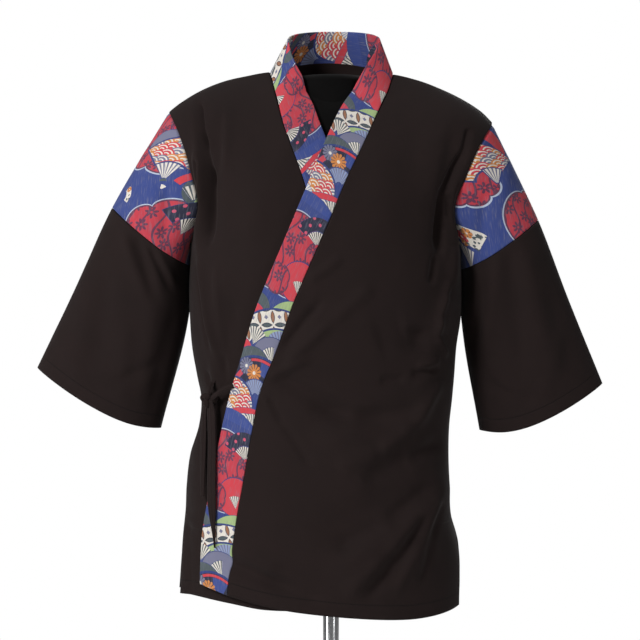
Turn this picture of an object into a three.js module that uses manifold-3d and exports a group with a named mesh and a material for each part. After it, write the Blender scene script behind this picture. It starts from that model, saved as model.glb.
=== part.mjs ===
// A Japanese-style chef's jacket, worn by a limbless dress form on a pole and a round base.
// Millimetres. +Z is up, -Y is the front and +X is the wearer's left. The origin is on the floor, under the pole.
// The cloth is a thin wall over a torso surface, whose rows run from the shoulder line down to the hem.
import * as THREE from "three";
import Module from "manifold-3d";

const wasm = await Module();
wasm.setup();

// Driving sizes of the jacket.
const NECK_Z = 1254;
const HEM_DROP = 734;
const CLOTH = 1.4;
const PUSH = { across: 0.7, forward: 1.3 };
const BAND_CLOTH = 2.8;
const HEM_FOLD = 20;
const HEM_EXTRA = 0.9;
const SEAM_GAP = 0.35;
const UNDER_LAP = 7.4;
const VENT_TOP_DROP = 628;
const VENT_SPREAD = 7;
const BACK_FLARE = 1.5;
const ROUNDNESS = 0.85;
const SQUARE_SLEEVE = 0.9;
const HANG = { sharp: 1.4, inner: 0.35 };
const SLEEVE_CLEAR = 2.2;
const ARMHOLE_FLARE = 1.5;
const NECK_HALF = 86;
const NECK_BACK_Y = 72;
const NECK_BACK_RISE = 18;

// Driving sizes of the stand.
const POLE_R = 11;
const BASE_R = 175;
const FORM_BOTTOM_DROP = 640;
const FORM_NECK_TOP = 1247;
const FORM_INSET = { shoulder: 3.8, body: 15 };

// Half widths and depths of the torso at each drop below the neck point. Right and left are the wearer's.
const BODY = [
  { drop: 0, right: 195, left: 181, front: 118, back: 100 },
  { drop: 60, right: 195, left: 181, front: 118, back: 106 },
  { drop: 130, right: 195, left: 181, front: 121, back: 114 },
  { drop: 240, right: 196, left: 181, front: 129, back: 119 },
  { drop: 300, right: 198, left: 182, front: 131, back: 116 },
  { drop: 343, right: 197, left: 181, front: 129, back: 111 },
  { drop: 384, right: 194, left: 175, front: 126, back: 106 },
  { drop: 424, right: 187, left: 172, front: 123, back: 102 },
  { drop: 457, right: 181, left: 169, front: 122, back: 101 },
  { drop: 494, right: 184.5, left: 165, front: 124, back: 104 },
  { drop: 534, right: 196.5, left: 164, front: 128, back: 110 },
  { drop: 576, right: 201.5, left: 165.5, front: 132, back: 116 },
  { drop: 614, right: 203, left: 167, front: 136, back: 121 },
  { drop: 654, right: 207, left: 176.5, front: 140, back: 125 },
  { drop: 694, right: 211.5, left: 182, front: 143, back: 128 },
  { drop: 740, right: 215.5, left: 183, front: 146, back: 131 },
];

// How far the shoulder line falls below the neck point, out along each shoulder.
const SHOULDER = [
  { out: 0, right: 0, left: 0 },
  { out: 84, right: 0, left: 3 },
  { out: 120, right: 6, left: 11 },
  { out: 150, right: 13, left: 22 },
  { out: 180, right: 25, left: 36 },
  { out: 210, right: 43, left: 55 },
  { out: 228, right: 57, left: 73 },
];

// Each armhole, from its top at the shoulder tip to its foot under the arm.
const ARMHOLE = {
  right: { sign: -1, topX: 226.5, footX: 195, topZ: 1197, footZ: 1015, hollow: 14, front: 72, back: 76 },
  left: { sign: 1, topX: 225.5, footX: 180, topZ: 1180, footZ: 1005, hollow: 14, front: 72, back: 76 },
};

// Height of the hem along each panel.
const OVER_HEM = [
  { x: -180, z: 552 },
  { x: -140, z: 539 },
  { x: -90, z: 527 },
  { x: -41, z: 519 },
  { x: 36, z: 511.5 },
  { x: 100, z: 508 },
  { x: 135, z: 509.5 },
  { x: 160, z: 513 },
  { x: 180, z: 518 },
];
const UNDER_HEM = [
  { x: -215, z: 531 },
  { x: -195, z: 533 },
  { x: -142, z: 527.5 },
  { x: -90, z: 521 },
  { x: 0, z: 522 },
  { x: 140, z: 528 },
];
const BACK_HEM = [
  { x: -215, z: 530 },
  { x: 0, z: 527 },
  { x: 180, z: 531 },
];

// The collar band's two edges down each front: the seam to the panel and the free edge.
const OVER_BAND = [
  { z: 1252, seam: 87, free: 58 },
  { z: 1226, seam: 80, free: 36 },
  { z: 1197, seam: 67, free: 15 },
  { z: 1150, seam: 45.5, free: -7 },
  { z: 1095, seam: 19.5, free: -29.5 },
  { z: 1041, seam: -2.7, free: -52 },
  { z: 934, seam: -49, free: -96.5 },
  { z: 893, seam: -64, free: -110.5 },
  { z: 855, seam: -78, free: -121.5 },
  { z: 814, seam: -94.5, free: -135 },
  { z: 762, seam: -106, free: -148 },
  { z: 697, seam: -117, free: -160 },
  { z: 655, seam: -124.5, free: -168.5 },
  { z: 617, seam: -130.5, free: -174.7 },
  { z: 582, seam: -135, free: -176.6 },
  { z: 530, seam: -141, free: -177 },
];
const UNDER_BAND = [
  { z: 1255, seam: -86, free: -58 },
  { z: 1218, seam: -77, free: -32 },
  { z: 1175, seam: -66, free: -16 },
  { z: 1150, seam: -57, free: -6.5 },
  { z: 1087, seam: -36, free: 12.6 },
  { z: 940, seam: 5, free: 54 },
  { z: 800, seam: 38, free: 86 },
  { z: 660, seam: 65, free: 111 },
  { z: 520, seam: 88, free: 131 },
];

// The band round the neck: its seam follows the back's neckline and the top of each front edge.
const NECK_BACK = [
  { seamX: 0, free: [0, 58, 1319.5] },
  { seamX: 25, free: [18, 55.5, 1319] },
  { seamX: 48, free: [34, 48, 1317] },
  { seamX: 66, free: [47, 38, 1314] },
  { seamX: 79, free: [57, 22, 1309] },
];
const NECK_FRONT = [
  { seamZ: 1251, free: [63.5, 1, 1300] },
  { seamZ: 1238, free: [58.5, -12, 1281] },
  { seamZ: 1223, free: [50, -23, 1263] },
  { seamZ: 1207, free: [40, -31, 1244] },
];
const NECK_LEAN = 4;
const FLAT_BAND_TOP = { seamZ: 1190, freeZ: 1222 };
const NECK_GAP = 1;
const BAND_PROUD = 1.1;
const FLAT_BAND_Y = -46;
const NECK_ROWS = 11;

// Folds of each front, as lines in the front view: ends, half width and height of each ridge (a trough is negative).
const UNDER_FOLDS = [
  { x0: -178, z0: 1150, x1: -178, z1: 1000, wide: 9, high: 7 },
  { x0: -160, z0: 1165, x1: -160, z1: 1015, wide: 11, high: -4 },
  { x0: -176, z0: 1010, x1: -159, z1: 850, wide: 10, high: 5 },
  { x0: -150, z0: 980, x1: -152, z1: 815, wide: 12, high: 3 },
  { x0: -143, z0: 890, x1: -146, z1: 790, wide: 9, high: -4 },
  { x0: -175, z0: 780, x1: -192, z1: 560, wide: 10, high: 4 },
];
const OVER_FOLDS = [
  { x0: 166, z0: 1100, x1: 164, z1: 945, wide: 9, high: 7 },
  { x0: 172, z0: 1170, x1: 145, z1: 1000, wide: 14, high: -5 },
  { x0: 158, z0: 940, x1: 143, z1: 890, wide: 13, high: 4 },
  { x0: 143, z0: 905, x1: 112, z1: 752, wide: 16, high: 4 },
  { x0: 100, z0: 893, x1: 60, z1: 880, wide: 26, high: -3 },
  { x0: -20, z0: 735, x1: 125, z1: 790, wide: 26, high: 4 },
  { x0: -15, z0: 622, x1: 130, z1: 690, wide: 24, high: -4 },
  { x0: 5, z0: 565, x1: 150, z1: 690, wide: 24, high: 5 },
  { x0: 150, z0: 690, x1: 108, z1: 560, wide: 18, high: 5 },
];
const BACK_FOLDS = [
  { x0: -160, z0: 1140, x1: -150, z1: 900, wide: 18, high: 6 },
  { x0: -130, z0: 1060, x1: -140, z1: 830, wide: 18, high: -5 },
  { x0: 150, z0: 1130, x1: 138, z1: 900, wide: 18, high: 6 },
  { x0: -150, z0: 800, x1: 10, z1: 760, wide: 24, high: 5 },
  { x0: -150, z0: 780, x1: -60, z1: 620, wide: 24, high: 5 },
  { x0: 60, z0: 800, x1: 85, z1: 550, wide: 26, high: 6 },
  { x0: -110, z0: 720, x1: -120, z1: 545, wide: 24, high: 5 },
];

// Sleeve sections below the armhole: outer and inner end in the front view, depths, and how far the front hangs low.
const SLEEVES = {
  right: [
    { outX: -305.5, outZ: 1064, inX: -199.5, inZ: 984, front: 64, back: 62, low: 6, y: 2 },
    { outX: -353.5, outZ: 960, inX: -199.5, inZ: 912, front: 58, back: 54, low: 10, y: 4 },
    { outX: -411, outZ: 841, inX: -238, inZ: 756, front: 50, back: 46, low: 14, y: 6 },
  ],
  left: [
    { outX: 289, outZ: 1047, inX: 184, inZ: 978, front: 64, back: 62, low: 6, y: 2 },
    { outX: 330.5, outZ: 940, inX: 183.5, inZ: 900, front: 58, back: 54, low: 10, y: 4 },
    { outX: 380, outZ: 819, inX: 208, inZ: 753, front: 50, back: 46, low: 17.5, y: 6 },
  ],
};

// The tie's knot and strips in the front view: across, height, and how far each place stands off the torso surface.
const TIE = { wide: 14, thick: 1.8, strandWide: 7 };
const KNOT = { x: -160, z: 799, proud: 8, half: [9, 7, 8] };
const KNOT_TURNS = [
  { move: [0, 0, 0], size: [1, 1, 1], tilt: 0.5 },
  { move: [-4, -1, -3], size: [0.62, 0.9, 0.7], tilt: -0.5 },
  { move: [5, -1, 3], size: [0.75, 0.8, 0.5], tilt: 0.9 },
];
const TIE_STRANDS = {
  tie_front_strand: [[-129, 819.5, 2.8], [-138, 815.5, 4.4], [-149, 808, 7], [-156, 803, 8]],
  tie_side_strand: [[-163, 839, -0.6], [-161, 825, 2.5], [-160, 812, 6], [-160, 802, 8]],
};
const TIE_TAILS = {
  tie_front_tail: [[-158, 794, 9], [-158, 780, 7], [-158, 740, 5.7], [-158, 664, 5.4], [-153, 601, 5.2]],
  tie_side_tail: [[-165, 795, 6.6], [-169.5, 780, 4.2], [-172.5, 740, 2.6], [-173, 668, 2.4]],
};

// How finely the walls are divided.
const FRONT_ROWS = 38;
const BACK_ROWS = 28;
const FRONT_COLUMNS = 26;
const UNDER_COLUMNS = 16;
const NECKLINE_COLUMNS = [0, 25, 48, 66, 79, 86, 104, 126, 150, 176, 202];
const RING = 24;
const EVEN_ROWS = 0.3;

const SEAM_BLACK = new THREE.MeshStandardMaterial({ color: 0x1d1a1b, roughness: 0.85, metalness: 0 });
const PRINTED = new THREE.MeshStandardMaterial({ color: 0x27408b, roughness: 0.75, metalness: 0 });
const FORM_JERSEY = new THREE.MeshStandardMaterial({ color: 0x101010, roughness: 0.95, metalness: 0 });
const CHROME = new THREE.MeshStandardMaterial({ color: 0xc9cbce, roughness: 0.15, metalness: 1 });

const lerp = THREE.MathUtils.lerp;
const clamp = THREE.MathUtils.clamp;
const ease = (from, to, at) => THREE.MathUtils.smoothstep(at, from, to);

// A smooth value from a table, read down one named column.
function read(table, key, at, name) {
  const falling = table[0][key] > table[table.length - 1][key];
  const rows = falling ? [...table].reverse() : table;
  const last = rows.length - 1;
  const place = clamp(at, rows[0][key], rows[last][key]);
  let i = 0;
  while (i < last - 1 && place > rows[i + 1][key]) i += 1;
  const slope = (k) => {
    const a = Math.max(k - 1, 0);
    const b = Math.min(k + 1, last);
    return (rows[b][name] - rows[a][name]) / (rows[b][key] - rows[a][key]);
  };
  const span = rows[i + 1][key] - rows[i][key];
  const t = (place - rows[i][key]) / span;
  const value = (2 * t ** 3 - 3 * t ** 2 + 1) * rows[i][name] + (3 * t ** 2 - 2 * t ** 3) * rows[i + 1][name];
  return value + span * ((t ** 3 - 2 * t ** 2 + t) * slope(i) + (t ** 3 - t ** 2) * slope(i + 1));
}

const sideOf = (x) => (x < 0 ? "right" : "left");
const shoulderDrop = (x) => read(SHOULDER, "out", Math.abs(x), sideOf(x));
const shoulderShare = (drop) => 1 - ease(0, 240, drop);
const hemShare = (drop) => ease(560, HEM_DROP, drop);

// Height of the surface at a place across and a drop below the neck point.
function heightAt(x, drop, hem, isBack) {
  const rise = isBack ? NECK_BACK_RISE * Math.max(0, 1 - (x / NECK_HALF) ** 2) * (1 - ease(0, 120, drop)) : 0;
  const hemLift = read(hem, "x", x, "z") - (NECK_Z - HEM_DROP);
  return NECK_Z + rise - drop - shoulderShare(drop) * shoulderDrop(x) + hemShare(drop) * hemLift;
}

// The share of the full depth that the surface has reached at a drop below the shoulder line.
function depthShare(x, drop) {
  const outward = ease(NECK_HALF, 215, Math.abs(x));
  const reach = lerp(200, 150, outward);
  const fallen = 1 - (1 - Math.min(drop / reach, 1)) ** 2;
  return fallen ** lerp(1, 0.5, outward);
}

// How far back the neckline pushes the cloth, at a place across and a drop below it.
function neckPush(x, drop) {
  const half = NECK_HALF + 60 * ease(0, 90, drop);
  return NECK_BACK_Y * Math.max(0, 1 - (x / half) ** 2) ** lerp(0.5, 1.7, ease(0, 45, drop));
}

// A point of an armhole. Angle 0 is the shoulder tip, 90 degrees the front, 180 under the arm, 270 the back.
function armholePoint(side, angle, inset = 0) {
  const a = ARMHOLE[side];
  const up = ((1 + Math.cos(angle)) / 2) ** ARMHOLE_FLARE;
  const out = lerp(a.footX, a.topX, up) - a.hollow * Math.sin(angle) ** 2 - inset;
  const depth = Math.sin(angle) > 0 ? a.front : a.back;
  const z = (a.topZ + a.footZ) / 2 + ((a.topZ - a.footZ) / 2) * Math.cos(angle);
  return new THREE.Vector3(a.sign * out, -(depth - inset) * Math.sin(angle), z);
}

// The outer end of a row of the surface: on the armhole, or at the side seam below it.
function rowEnd(side, drop, hem, isBack, inset) {
  const a = ARMHOLE[side];
  const base = Math.max(drop, 0.5);
  let end = armholePoint(side, 0, inset);
  for (let i = 0; i < 12; i += 1) {
    const z = heightAt(end.x, base, hem, isBack);
    if (z <= a.footZ) {
      const x = a.sign * (read(BODY, "drop", drop, side) - inset);
      return { x, share: 0, scale: Math.abs(x) };
    }
    const angle = Math.acos(clamp((2 * z - a.topZ - a.footZ) / (a.topZ - a.footZ), -1, 1));
    end = armholePoint(side, isBack ? 2 * Math.PI - angle : angle, inset);
  }
  const depth = (read(BODY, "drop", base, isBack ? "back" : "front") - inset) * depthShare(end.x, base);
  const share = clamp(Math.abs(end.y) / depth, 0, 0.97);
  const turn = Math.acos(share ** (1 / ROUNDNESS));
  return { x: end.x, share, scale: Math.abs(end.x) / Math.sin(turn) ** ROUNDNESS };
}

// One row of the torso surface, as a function of the place across it.
function torsoRow(drop, hem, isBack, inset = 0) {
  const ends = { right: rowEnd("right", drop, hem, isBack, inset), left: rowEnd("left", drop, hem, isBack, inset) };
  const depth = read(BODY, "drop", drop, isBack ? "back" : "front") - inset;
  const turnOf = (x) => {
    const across = clamp(Math.abs(x) / ends[sideOf(x)].scale, 0, 1);
    return Math.sign(x) * Math.asin(across ** (1 / ROUNDNESS));
  };
  const pointAt = (turn) => {
    const end = ends[turn < 0 ? "right" : "left"];
    const x = Math.sign(turn) * end.scale * Math.abs(Math.sin(turn)) ** ROUNDNESS;
    const share = depthShare(x, drop);
    const y = share * depth * Math.max(Math.cos(turn), 0) ** ROUNDNESS;
    const ridge = isBack && !inset ? neckPush(x, drop) * (1 - share) : 0;
    const z = heightAt(x, drop, hem, isBack && !inset) - inset * shoulderShare(drop);
    return new THREE.Vector3(x, isBack ? y + ridge : -y, z);
  };
  return { ends, turnOf, pointAt };
}

// The point of the front surface seen at a place across and a height.
function frontAt(x, z, hem = OVER_HEM) {
  let drop = NECK_Z - z;
  for (let i = 0; i < 24; i += 1) drop = clamp(drop + heightAt(x, drop, hem, false) - z, 0, HEM_DROP + 20);
  const row = torsoRow(drop, hem, false);
  return row.pointAt(row.turnOf(x));
}

// How far a set of folds lifts the cloth at a place in the front or back view.
function foldHeight(folds, x, z) {
  return folds.reduce((sum, f) => {
    const dx = f.x1 - f.x0;
    const dz = f.z1 - f.z0;
    const along = clamp(((x - f.x0) * dx + (z - f.z0) * dz) / (dx * dx + dz * dz), -0.12, 1.12);
    const off = Math.hypot(x - f.x0 - along * dx, z - f.z0 - along * dz);
    const fade = ease(-0.12, 0.2, along) * (1 - ease(0.75, 1.12, along));
    return sum + f.high * fade * Math.exp(-((off / f.wide) ** 2));
  }, 0);
}

// The grid pushed out level from the body's middle line, by a distance that changes from point to point.
function pushed(grid, distance) {
  return grid.map((row, i) => row.map((p, j) => {
    const way = new THREE.Vector3(PUSH.across * p.x, PUSH.forward * p.y, 0).normalize();
    return p.clone().addScaledVector(way, distance(p, i, j, row.length - 1));
  }));
}

// Outward normals of a grid of points. Rows run down, columns run so that the face looks outwards.
function normalsOf(grid, closed) {
  const columns = grid[0].length;
  return grid.map((row, i) =>
    row.map((_, j) => {
      const above = grid[Math.max(i - 1, 0)][j];
      const below = grid[Math.min(i + 1, grid.length - 1)][j];
      const before = closed ? row[(j + columns - 1) % columns] : row[Math.max(j - 1, 0)];
      const after = closed ? row[(j + 1) % columns] : row[Math.min(j + 1, columns - 1)];
      const across = new THREE.Vector3().subVectors(after, before);
      return new THREE.Vector3().subVectors(below, above).cross(across).normalize();
    }),
  );
}

// The grid moved along its normals by a distance that may change from point to point.
function moved(grid, distance, closed = false) {
  const normals = normalsOf(grid, closed);
  const by = typeof distance === "function" ? distance : () => distance;
  return grid.map((row, i) => row.map((p, j) => p.clone().addScaledVector(normals[i][j], by(p, i, j))));
}

// A closed wall between two grids. With closed set, the columns run right round a tube.
function wallBetween(outer, inner, closed = false) {
  const rows = outer.length;
  const columns = outer[0].length;
  const positions = [...outer.flat(), ...inner.flat()].flatMap((p) => [p.x, p.y, p.z]);
  const faces = [];
  const out = (i, j) => i * columns + (j % columns);
  const into = (i, j) => rows * columns + out(i, j);
  const quad = (a, b, c, d) => faces.push(a, b, c, a, c, d);
  const spans = closed ? columns : columns - 1;
  for (let i = 0; i < rows - 1; i += 1) {
    for (let j = 0; j < spans; j += 1) {
      quad(out(i, j), out(i + 1, j), out(i + 1, j + 1), out(i, j + 1));
      quad(into(i, j), into(i, j + 1), into(i + 1, j + 1), into(i + 1, j));
    }
  }
  for (let j = 0; j < spans; j += 1) {
    quad(out(0, j), out(0, j + 1), into(0, j + 1), into(0, j));
    quad(out(rows - 1, j), into(rows - 1, j), into(rows - 1, j + 1), out(rows - 1, j + 1));
  }
  if (!closed) {
    const edge = columns - 1;
    for (let i = 0; i < rows - 1; i += 1) {
      quad(out(i, 0), into(i, 0), into(i + 1, 0), out(i + 1, 0));
      quad(out(i, edge), out(i + 1, edge), into(i + 1, edge), into(i, edge));
    }
  }
  const geometry = new THREE.BufferGeometry();
  geometry.setAttribute("position", new THREE.Float32BufferAttribute(positions, 3));
  geometry.setIndex(faces);
  return geometry;
}

// A cloth wall whose outer face is the grid, thicker where the hem is folded up inside.
function clothWall(grid, hemDistance, closed = false) {
  const thick = (p, i, j) => -CLOTH - HEM_EXTRA * (1 - ease(HEM_FOLD - 2, HEM_FOLD + 2, hemDistance(p, i, j)));
  return wallBetween(grid, moved(grid, thick, closed), closed);
}

// A panel's wall, kept to its own side of the shoulder seam: -1 for the front and 1 for the back.
function panelWall(grid, hem, side) {
  const kept = (points) => points.map((row) => row.map((p) => p.setY(side * Math.max(side * p.y, SEAM_GAP / 2))));
  const thick = (p) => -CLOTH - HEM_EXTRA * (1 - ease(HEM_FOLD - 2, HEM_FOLD + 2, p.z - read(hem, "x", p.x, "z")));
  return wallBetween(kept(grid), kept(moved(grid, thick)));
}

const spread = (count, from, to) => Array.from({ length: count + 1 }, (_, i) => lerp(from, to, i / count));

// Drops of the rows, closer together near the shoulder.
const rowDrops = (count) => spread(count, 0, 1).map((t) => HEM_DROP * lerp(t ** 1.4, t, EVEN_ROWS));

const root = new THREE.Group();
function add(name, geometry, material) {
  const mesh = new THREE.Mesh(geometry, material);
  mesh.name = name;
  root.add(mesh);
  return mesh;
}

// Folds die out at the armhole and the side seam.
const sideFade = (columns) => ease(0, 3, columns);

// How far the under front and its band are from the surface: its own folds, or laid below the over front's.
function underLift(p) {
  const edge = read(OVER_BAND, "z", p.z, "free");
  const covered = ease(edge - 60, edge - 3, p.x);
  return lerp(foldHeight(UNDER_FOLDS, p.x, p.z), foldHeight(OVER_FOLDS, p.x, p.z) - UNDER_LAP, covered);
}

// The front's side edge draws in a little below the top of the vent.
const ventShift = (drop) => VENT_SPREAD * ease(VENT_TOP_DROP, HEM_DROP, drop);

// The over front: the wearer's left, from its band across to its armhole and side seam.
function overFront() {
  const grid = rowDrops(FRONT_ROWS).map((drop) => {
    const row = torsoRow(drop, OVER_HEM, false);
    const seam = (x) => read(OVER_BAND, "z", heightAt(x, drop, OVER_HEM, false), "seam");
    let start = seam(0);
    for (let i = 0; i < 12; i += 1) start = seam(start);
    const from = row.turnOf(start + SEAM_GAP);
    const to = row.turnOf(row.ends.left.x - SEAM_GAP - ventShift(drop));
    return spread(FRONT_COLUMNS, 0, 1).map((t) => row.pointAt(lerp(from, to, t)));
  });
  const lift = (p, i, j) => foldHeight(OVER_FOLDS, p.x, p.z) * sideFade(FRONT_COLUMNS - j);
  return panelWall(pushed(grid, lift), OVER_HEM, -1);
}

// The under front: the wearer's right, from its armhole and side seam to its band, hidden below the over front.
function underFront() {
  const grid = rowDrops(FRONT_ROWS).map((drop) => {
    const row = torsoRow(drop, UNDER_HEM, false);
    const seam = (x) => read(UNDER_BAND, "z", heightAt(x, drop, UNDER_HEM, false), "seam");
    let end = seam(0);
    for (let i = 0; i < 12; i += 1) end = seam(end);
    const from = row.turnOf(row.ends.right.x + SEAM_GAP + ventShift(drop));
    const to = row.turnOf(end - SEAM_GAP);
    return spread(UNDER_COLUMNS, 0, 1).map((t) => row.pointAt(lerp(from, to, t ** 1.25)));
  });
  return panelWall(pushed(grid, (p, i, j) => underLift(p) * sideFade(j)), UNDER_HEM, -1);
}

// The back: one panel from side seam to side seam, with the neckline at the top.
function back() {
  const grid = rowDrops(BACK_ROWS).map((drop) => {
    const row = torsoRow(drop, BACK_HEM, true);
    const low = ease(0, 260, drop);
    const half = (sign) => {
      const flare = (ventShift(drop) / VENT_SPREAD) * BACK_FLARE;
      const end = row.ends[sign < 0 ? "right" : "left"].x - sign * (SEAM_GAP - flare);
      const turns = [...NECKLINE_COLUMNS, Math.abs(end)].map((x) => row.turnOf(sign * Math.min(x, Math.abs(end))));
      return turns.map((turn, j) => lerp(turn, (row.turnOf(end) * j) / NECKLINE_COLUMNS.length, low));
    };
    const turns = [...half(1).reverse(), ...half(-1).slice(1)];
    return turns.map((turn) => row.pointAt(turn));
  });
  const lift = (p, i, j, last) => foldHeight(BACK_FOLDS, p.x, p.z) * sideFade(Math.min(j, last - j));
  return panelWall(pushed(grid, lift), BACK_HEM, 1);
}

// The collar band: one long strip up one front, round the neck and down the other.
function collarRows(isOver) {
  const sign = isOver ? 1 : -1;
  const table = isOver ? OVER_BAND : UNDER_BAND;
  const hem = isOver ? OVER_HEM : UNDER_HEM;
  const across = spread(4, 0, 1);
  const upright = (seam, free) => across.map((t) => {
    const end = new THREE.Vector3(free[0] * sign + NECK_LEAN * ease(1250, 1300, free[2]), free[1], free[2]);
    return seam.clone().lerp(end, t);
  });
  const behind = NECK_BACK.map((r) => {
    const z = heightAt(sign * r.seamX, 0, BACK_HEM, true) + NECK_GAP;
    return upright(new THREE.Vector3(r.seamX * sign, neckPush(r.seamX, 0), z), r.free);
  });
  const beside = NECK_FRONT.map((r) => {
    const seam = frontAt(read(table, "z", r.seamZ, "seam") - sign * NECK_GAP, r.seamZ, hem);
    return upright(seam.setZ(seam.z + NECK_GAP), r.free);
  });
  const low = { seam: read(hem, "x", table.at(-1).seam, "z"), free: read(hem, "x", table.at(-1).free, "z") };
  const down = spread(26, 0, 1).map((t) => {
    const seamZ = lerp(FLAT_BAND_TOP.seamZ, low.seam, t);
    const freeZ = lerp(FLAT_BAND_TOP.freeZ, low.free, t);
    const seamX = read(table, "z", seamZ, "seam") - sign * lerp(NECK_GAP, SEAM_GAP / 2, ease(0, 0.08, t));
    const freeX = read(table, "z", freeZ, "free");
    return across.map((s) => frontAt(lerp(seamX, freeX, s), lerp(seamZ, freeZ, s), hem));
  });
  return [...behind, ...beside, ...down];
}

function collar() {
  const over = collarRows(true);
  const under = collarRows(false).slice(1).reverse();
  const grid = [...under, ...over].map((row) => [...row].reverse());
  const lift = (p, i) => {
    if (p.y > FLAT_BAND_Y) return 0;
    return i < under.length ? underLift(p) : foldHeight(OVER_FOLDS, p.x, p.z);
  };
  const neck = (k) => Math.abs(k - under.length + 0.5) < NECK_ROWS;
  const steps = grid.flatMap((_, k) => (neck(k) && k < grid.length - 1 ? [k, k + 0.5] : [k]));
  const curves = grid[0].map((_, j) => new THREE.CatmullRomCurve3(pushed(grid, lift).map((row) => row[j])));
  const lifted = steps.map((k) => curves.map((curve) => curve.getPoint(k / (grid.length - 1))));
  return wallBetween(moved(lifted, BAND_PROUD), moved(lifted, BAND_PROUD - BAND_CLOTH));
}

// A sleeve ring at a place along the sleeve: 0 is the armhole, 1 the band's lower seam, 3 the cuff.
function sleevePoint(side, along, angle) {
  const sections = SLEEVES[side];
  const at = (k) => {
    if (k === 0) return armholePoint(side, angle);
    const s = sections[k - 1];
    const c = Math.sign(Math.cos(angle)) * Math.abs(Math.cos(angle)) ** SQUARE_SLEEVE;
    const n = Math.sign(Math.sin(angle)) * Math.abs(Math.sin(angle)) ** SQUARE_SLEEVE;
    const x = (s.outX + s.inX) / 2 + ((s.outX - s.inX) / 2) * c;
    const hang = s.low * n * Math.abs(n) ** HANG.sharp * (1 - HANG.inner * c);
    const z = (s.outZ + s.inZ) / 2 + ((s.outZ - s.inZ) / 2) * c - hang;
    return new THREE.Vector3(x, s.y - (n > 0 ? s.front : s.back) * n, z);
  };
  const curve = new THREE.CatmullRomCurve3([at(0), at(1), at(2), at(3)], false, "centripetal");
  return curve.getPoint(along / 3);
}

// The point moved out, if it must be, to hang clear of the body's side.
function clearOfBody(side, p, along) {
  const isBack = p.y > 0;
  const drop = clamp(NECK_Z - p.z, 0, HEM_DROP);
  const end = rowEnd(side, drop, BACK_HEM, isBack, 0);
  const depth = read(BODY, "drop", drop, isBack ? "back" : "front") * depthShare(end.x, drop);
  const turn = Math.acos(clamp(Math.abs(p.y) / depth, 0, 1) ** (1 / ROUNDNESS));
  const clear = SLEEVE_CLEAR * Math.max(ease(0, 0.5, along), 1 - ease(1080, 1140, p.z));
  const reach = Math.min(end.scale * Math.sin(turn) ** ROUNDNESS, Math.abs(end.x)) + clear;
  const sign = ARMHOLE[side].sign;
  return p.setX(sign * Math.max(sign * p.x + SEAM_GAP, reach));
}

function sleevePiece(side, from, to, steps, hemmed) {
  const angles = spread(RING, 0, 2 * Math.PI).slice(0, RING);
  const turn = side === "left" ? -1 : 1;
  const ring = (s) => angles.map((a) => {
    const p = sleevePoint(side, s, turn * -a);
    return s > 0 ? clearOfBody(side, p, s) : p;
  });
  const grid = spread(steps, from, to).map(ring);
  const cuff = ring(3);
  const toCuff = (p, i, j) => (hemmed ? p.distanceTo(cuff[j]) : 2 * HEM_FOLD);
  return clothWall(grid, toCuff, true);
}

// The torso surface at a place in the front view, and the way it faces.
function faceAt(x, z) {
  const at = (dx, dz) => frontAt(x + dx, z + dz, UNDER_HEM);
  const normal = new THREE.Vector3().subVectors(at(2, 0), at(-2, 0)).cross(at(0, 5).sub(at(0, -5))).normalize();
  return { p: at(0, 0), normal };
}

// A flat strip of cloth along points given as across, height and how far it stands off the torso surface.
function strip(points, wide, thick, tip = 1) {
  const line = new THREE.CatmullRomCurve3(points.map((p) => new THREE.Vector3(...p)));
  const steps = 4 * (points.length - 1);
  const places = spread(steps, 0, 1).map((t) => {
    const { x, y, z } = line.getPoint(t);
    const face = faceAt(x, y);
    return { p: face.p.addScaledVector(face.normal, z), normal: face.normal };
  });
  const grid = places.map(({ p, normal }, i) => {
    const d = places[Math.min(i + 1, steps)].p.clone().sub(places[Math.max(i - 1, 0)].p).normalize();
    const side = new THREE.Vector3().crossVectors(d, normal).normalize();
    const half = (wide / 2) * lerp(1, tip, ease(0.8, 1, i / steps));
    return [-1, 0, 1].map((s) => p.clone().addScaledVector(side, -s * half));
  });
  return wallBetween(moved(grid, thick / 2), moved(grid, -thick / 2));
}

function solidOf(geometry) {
  const flat = geometry.index ? geometry.toNonIndexed() : geometry;
  const at = flat.getAttribute("position");
  const keys = new Map();
  const points = [];
  const faces = [];
  for (let i = 0; i < at.count; i += 1) {
    const p = [at.getX(i), at.getY(i), at.getZ(i)];
    const key = p.map((v) => Math.round(v * 1e3)).join();
    if (!keys.has(key)) keys.set(key, points.push(p) - 1);
    faces.push(keys.get(key));
  }
  const kept = [];
  for (let i = 0; i < faces.length; i += 3) {
    const [a, b, c] = faces.slice(i, i + 3);
    if (a !== b && b !== c && c !== a) kept.push(a, b, c);
  }
  return new wasm.Manifold(new wasm.Mesh({
    numProp: 3,
    vertProperties: new Float32Array(points.flat()),
    triVerts: new Uint32Array(kept),
  }));
}

function geometryOf(solid) {
  const made = solid.getMesh();
  const geometry = new THREE.BufferGeometry();
  geometry.setAttribute("position", new THREE.BufferAttribute(new Float32Array(made.vertProperties), 3));
  geometry.setIndex(new THREE.BufferAttribute(new Uint32Array(made.triVerts), 1));
  return geometry;
}

// The knot of the two ties: three rounded turns of cloth pulled together.
function knotSolid(grown = 0) {
  const face = faceAt(KNOT.x, KNOT.z);
  const centre = face.p.addScaledVector(face.normal, KNOT.proud);
  const solids = KNOT_TURNS.map((turn) => {
    const ball = new THREE.SphereGeometry(1, 12, 8);
    ball.scale(...KNOT.half.map((half, k) => half * turn.size[k] + grown));
    ball.rotateY(turn.tilt);
    ball.translate(...centre.clone().add(new THREE.Vector3(...turn.move)).toArray());
    return solidOf(ball);
  });
  return solids.reduce((a, b) => a.add(b));
}

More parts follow.
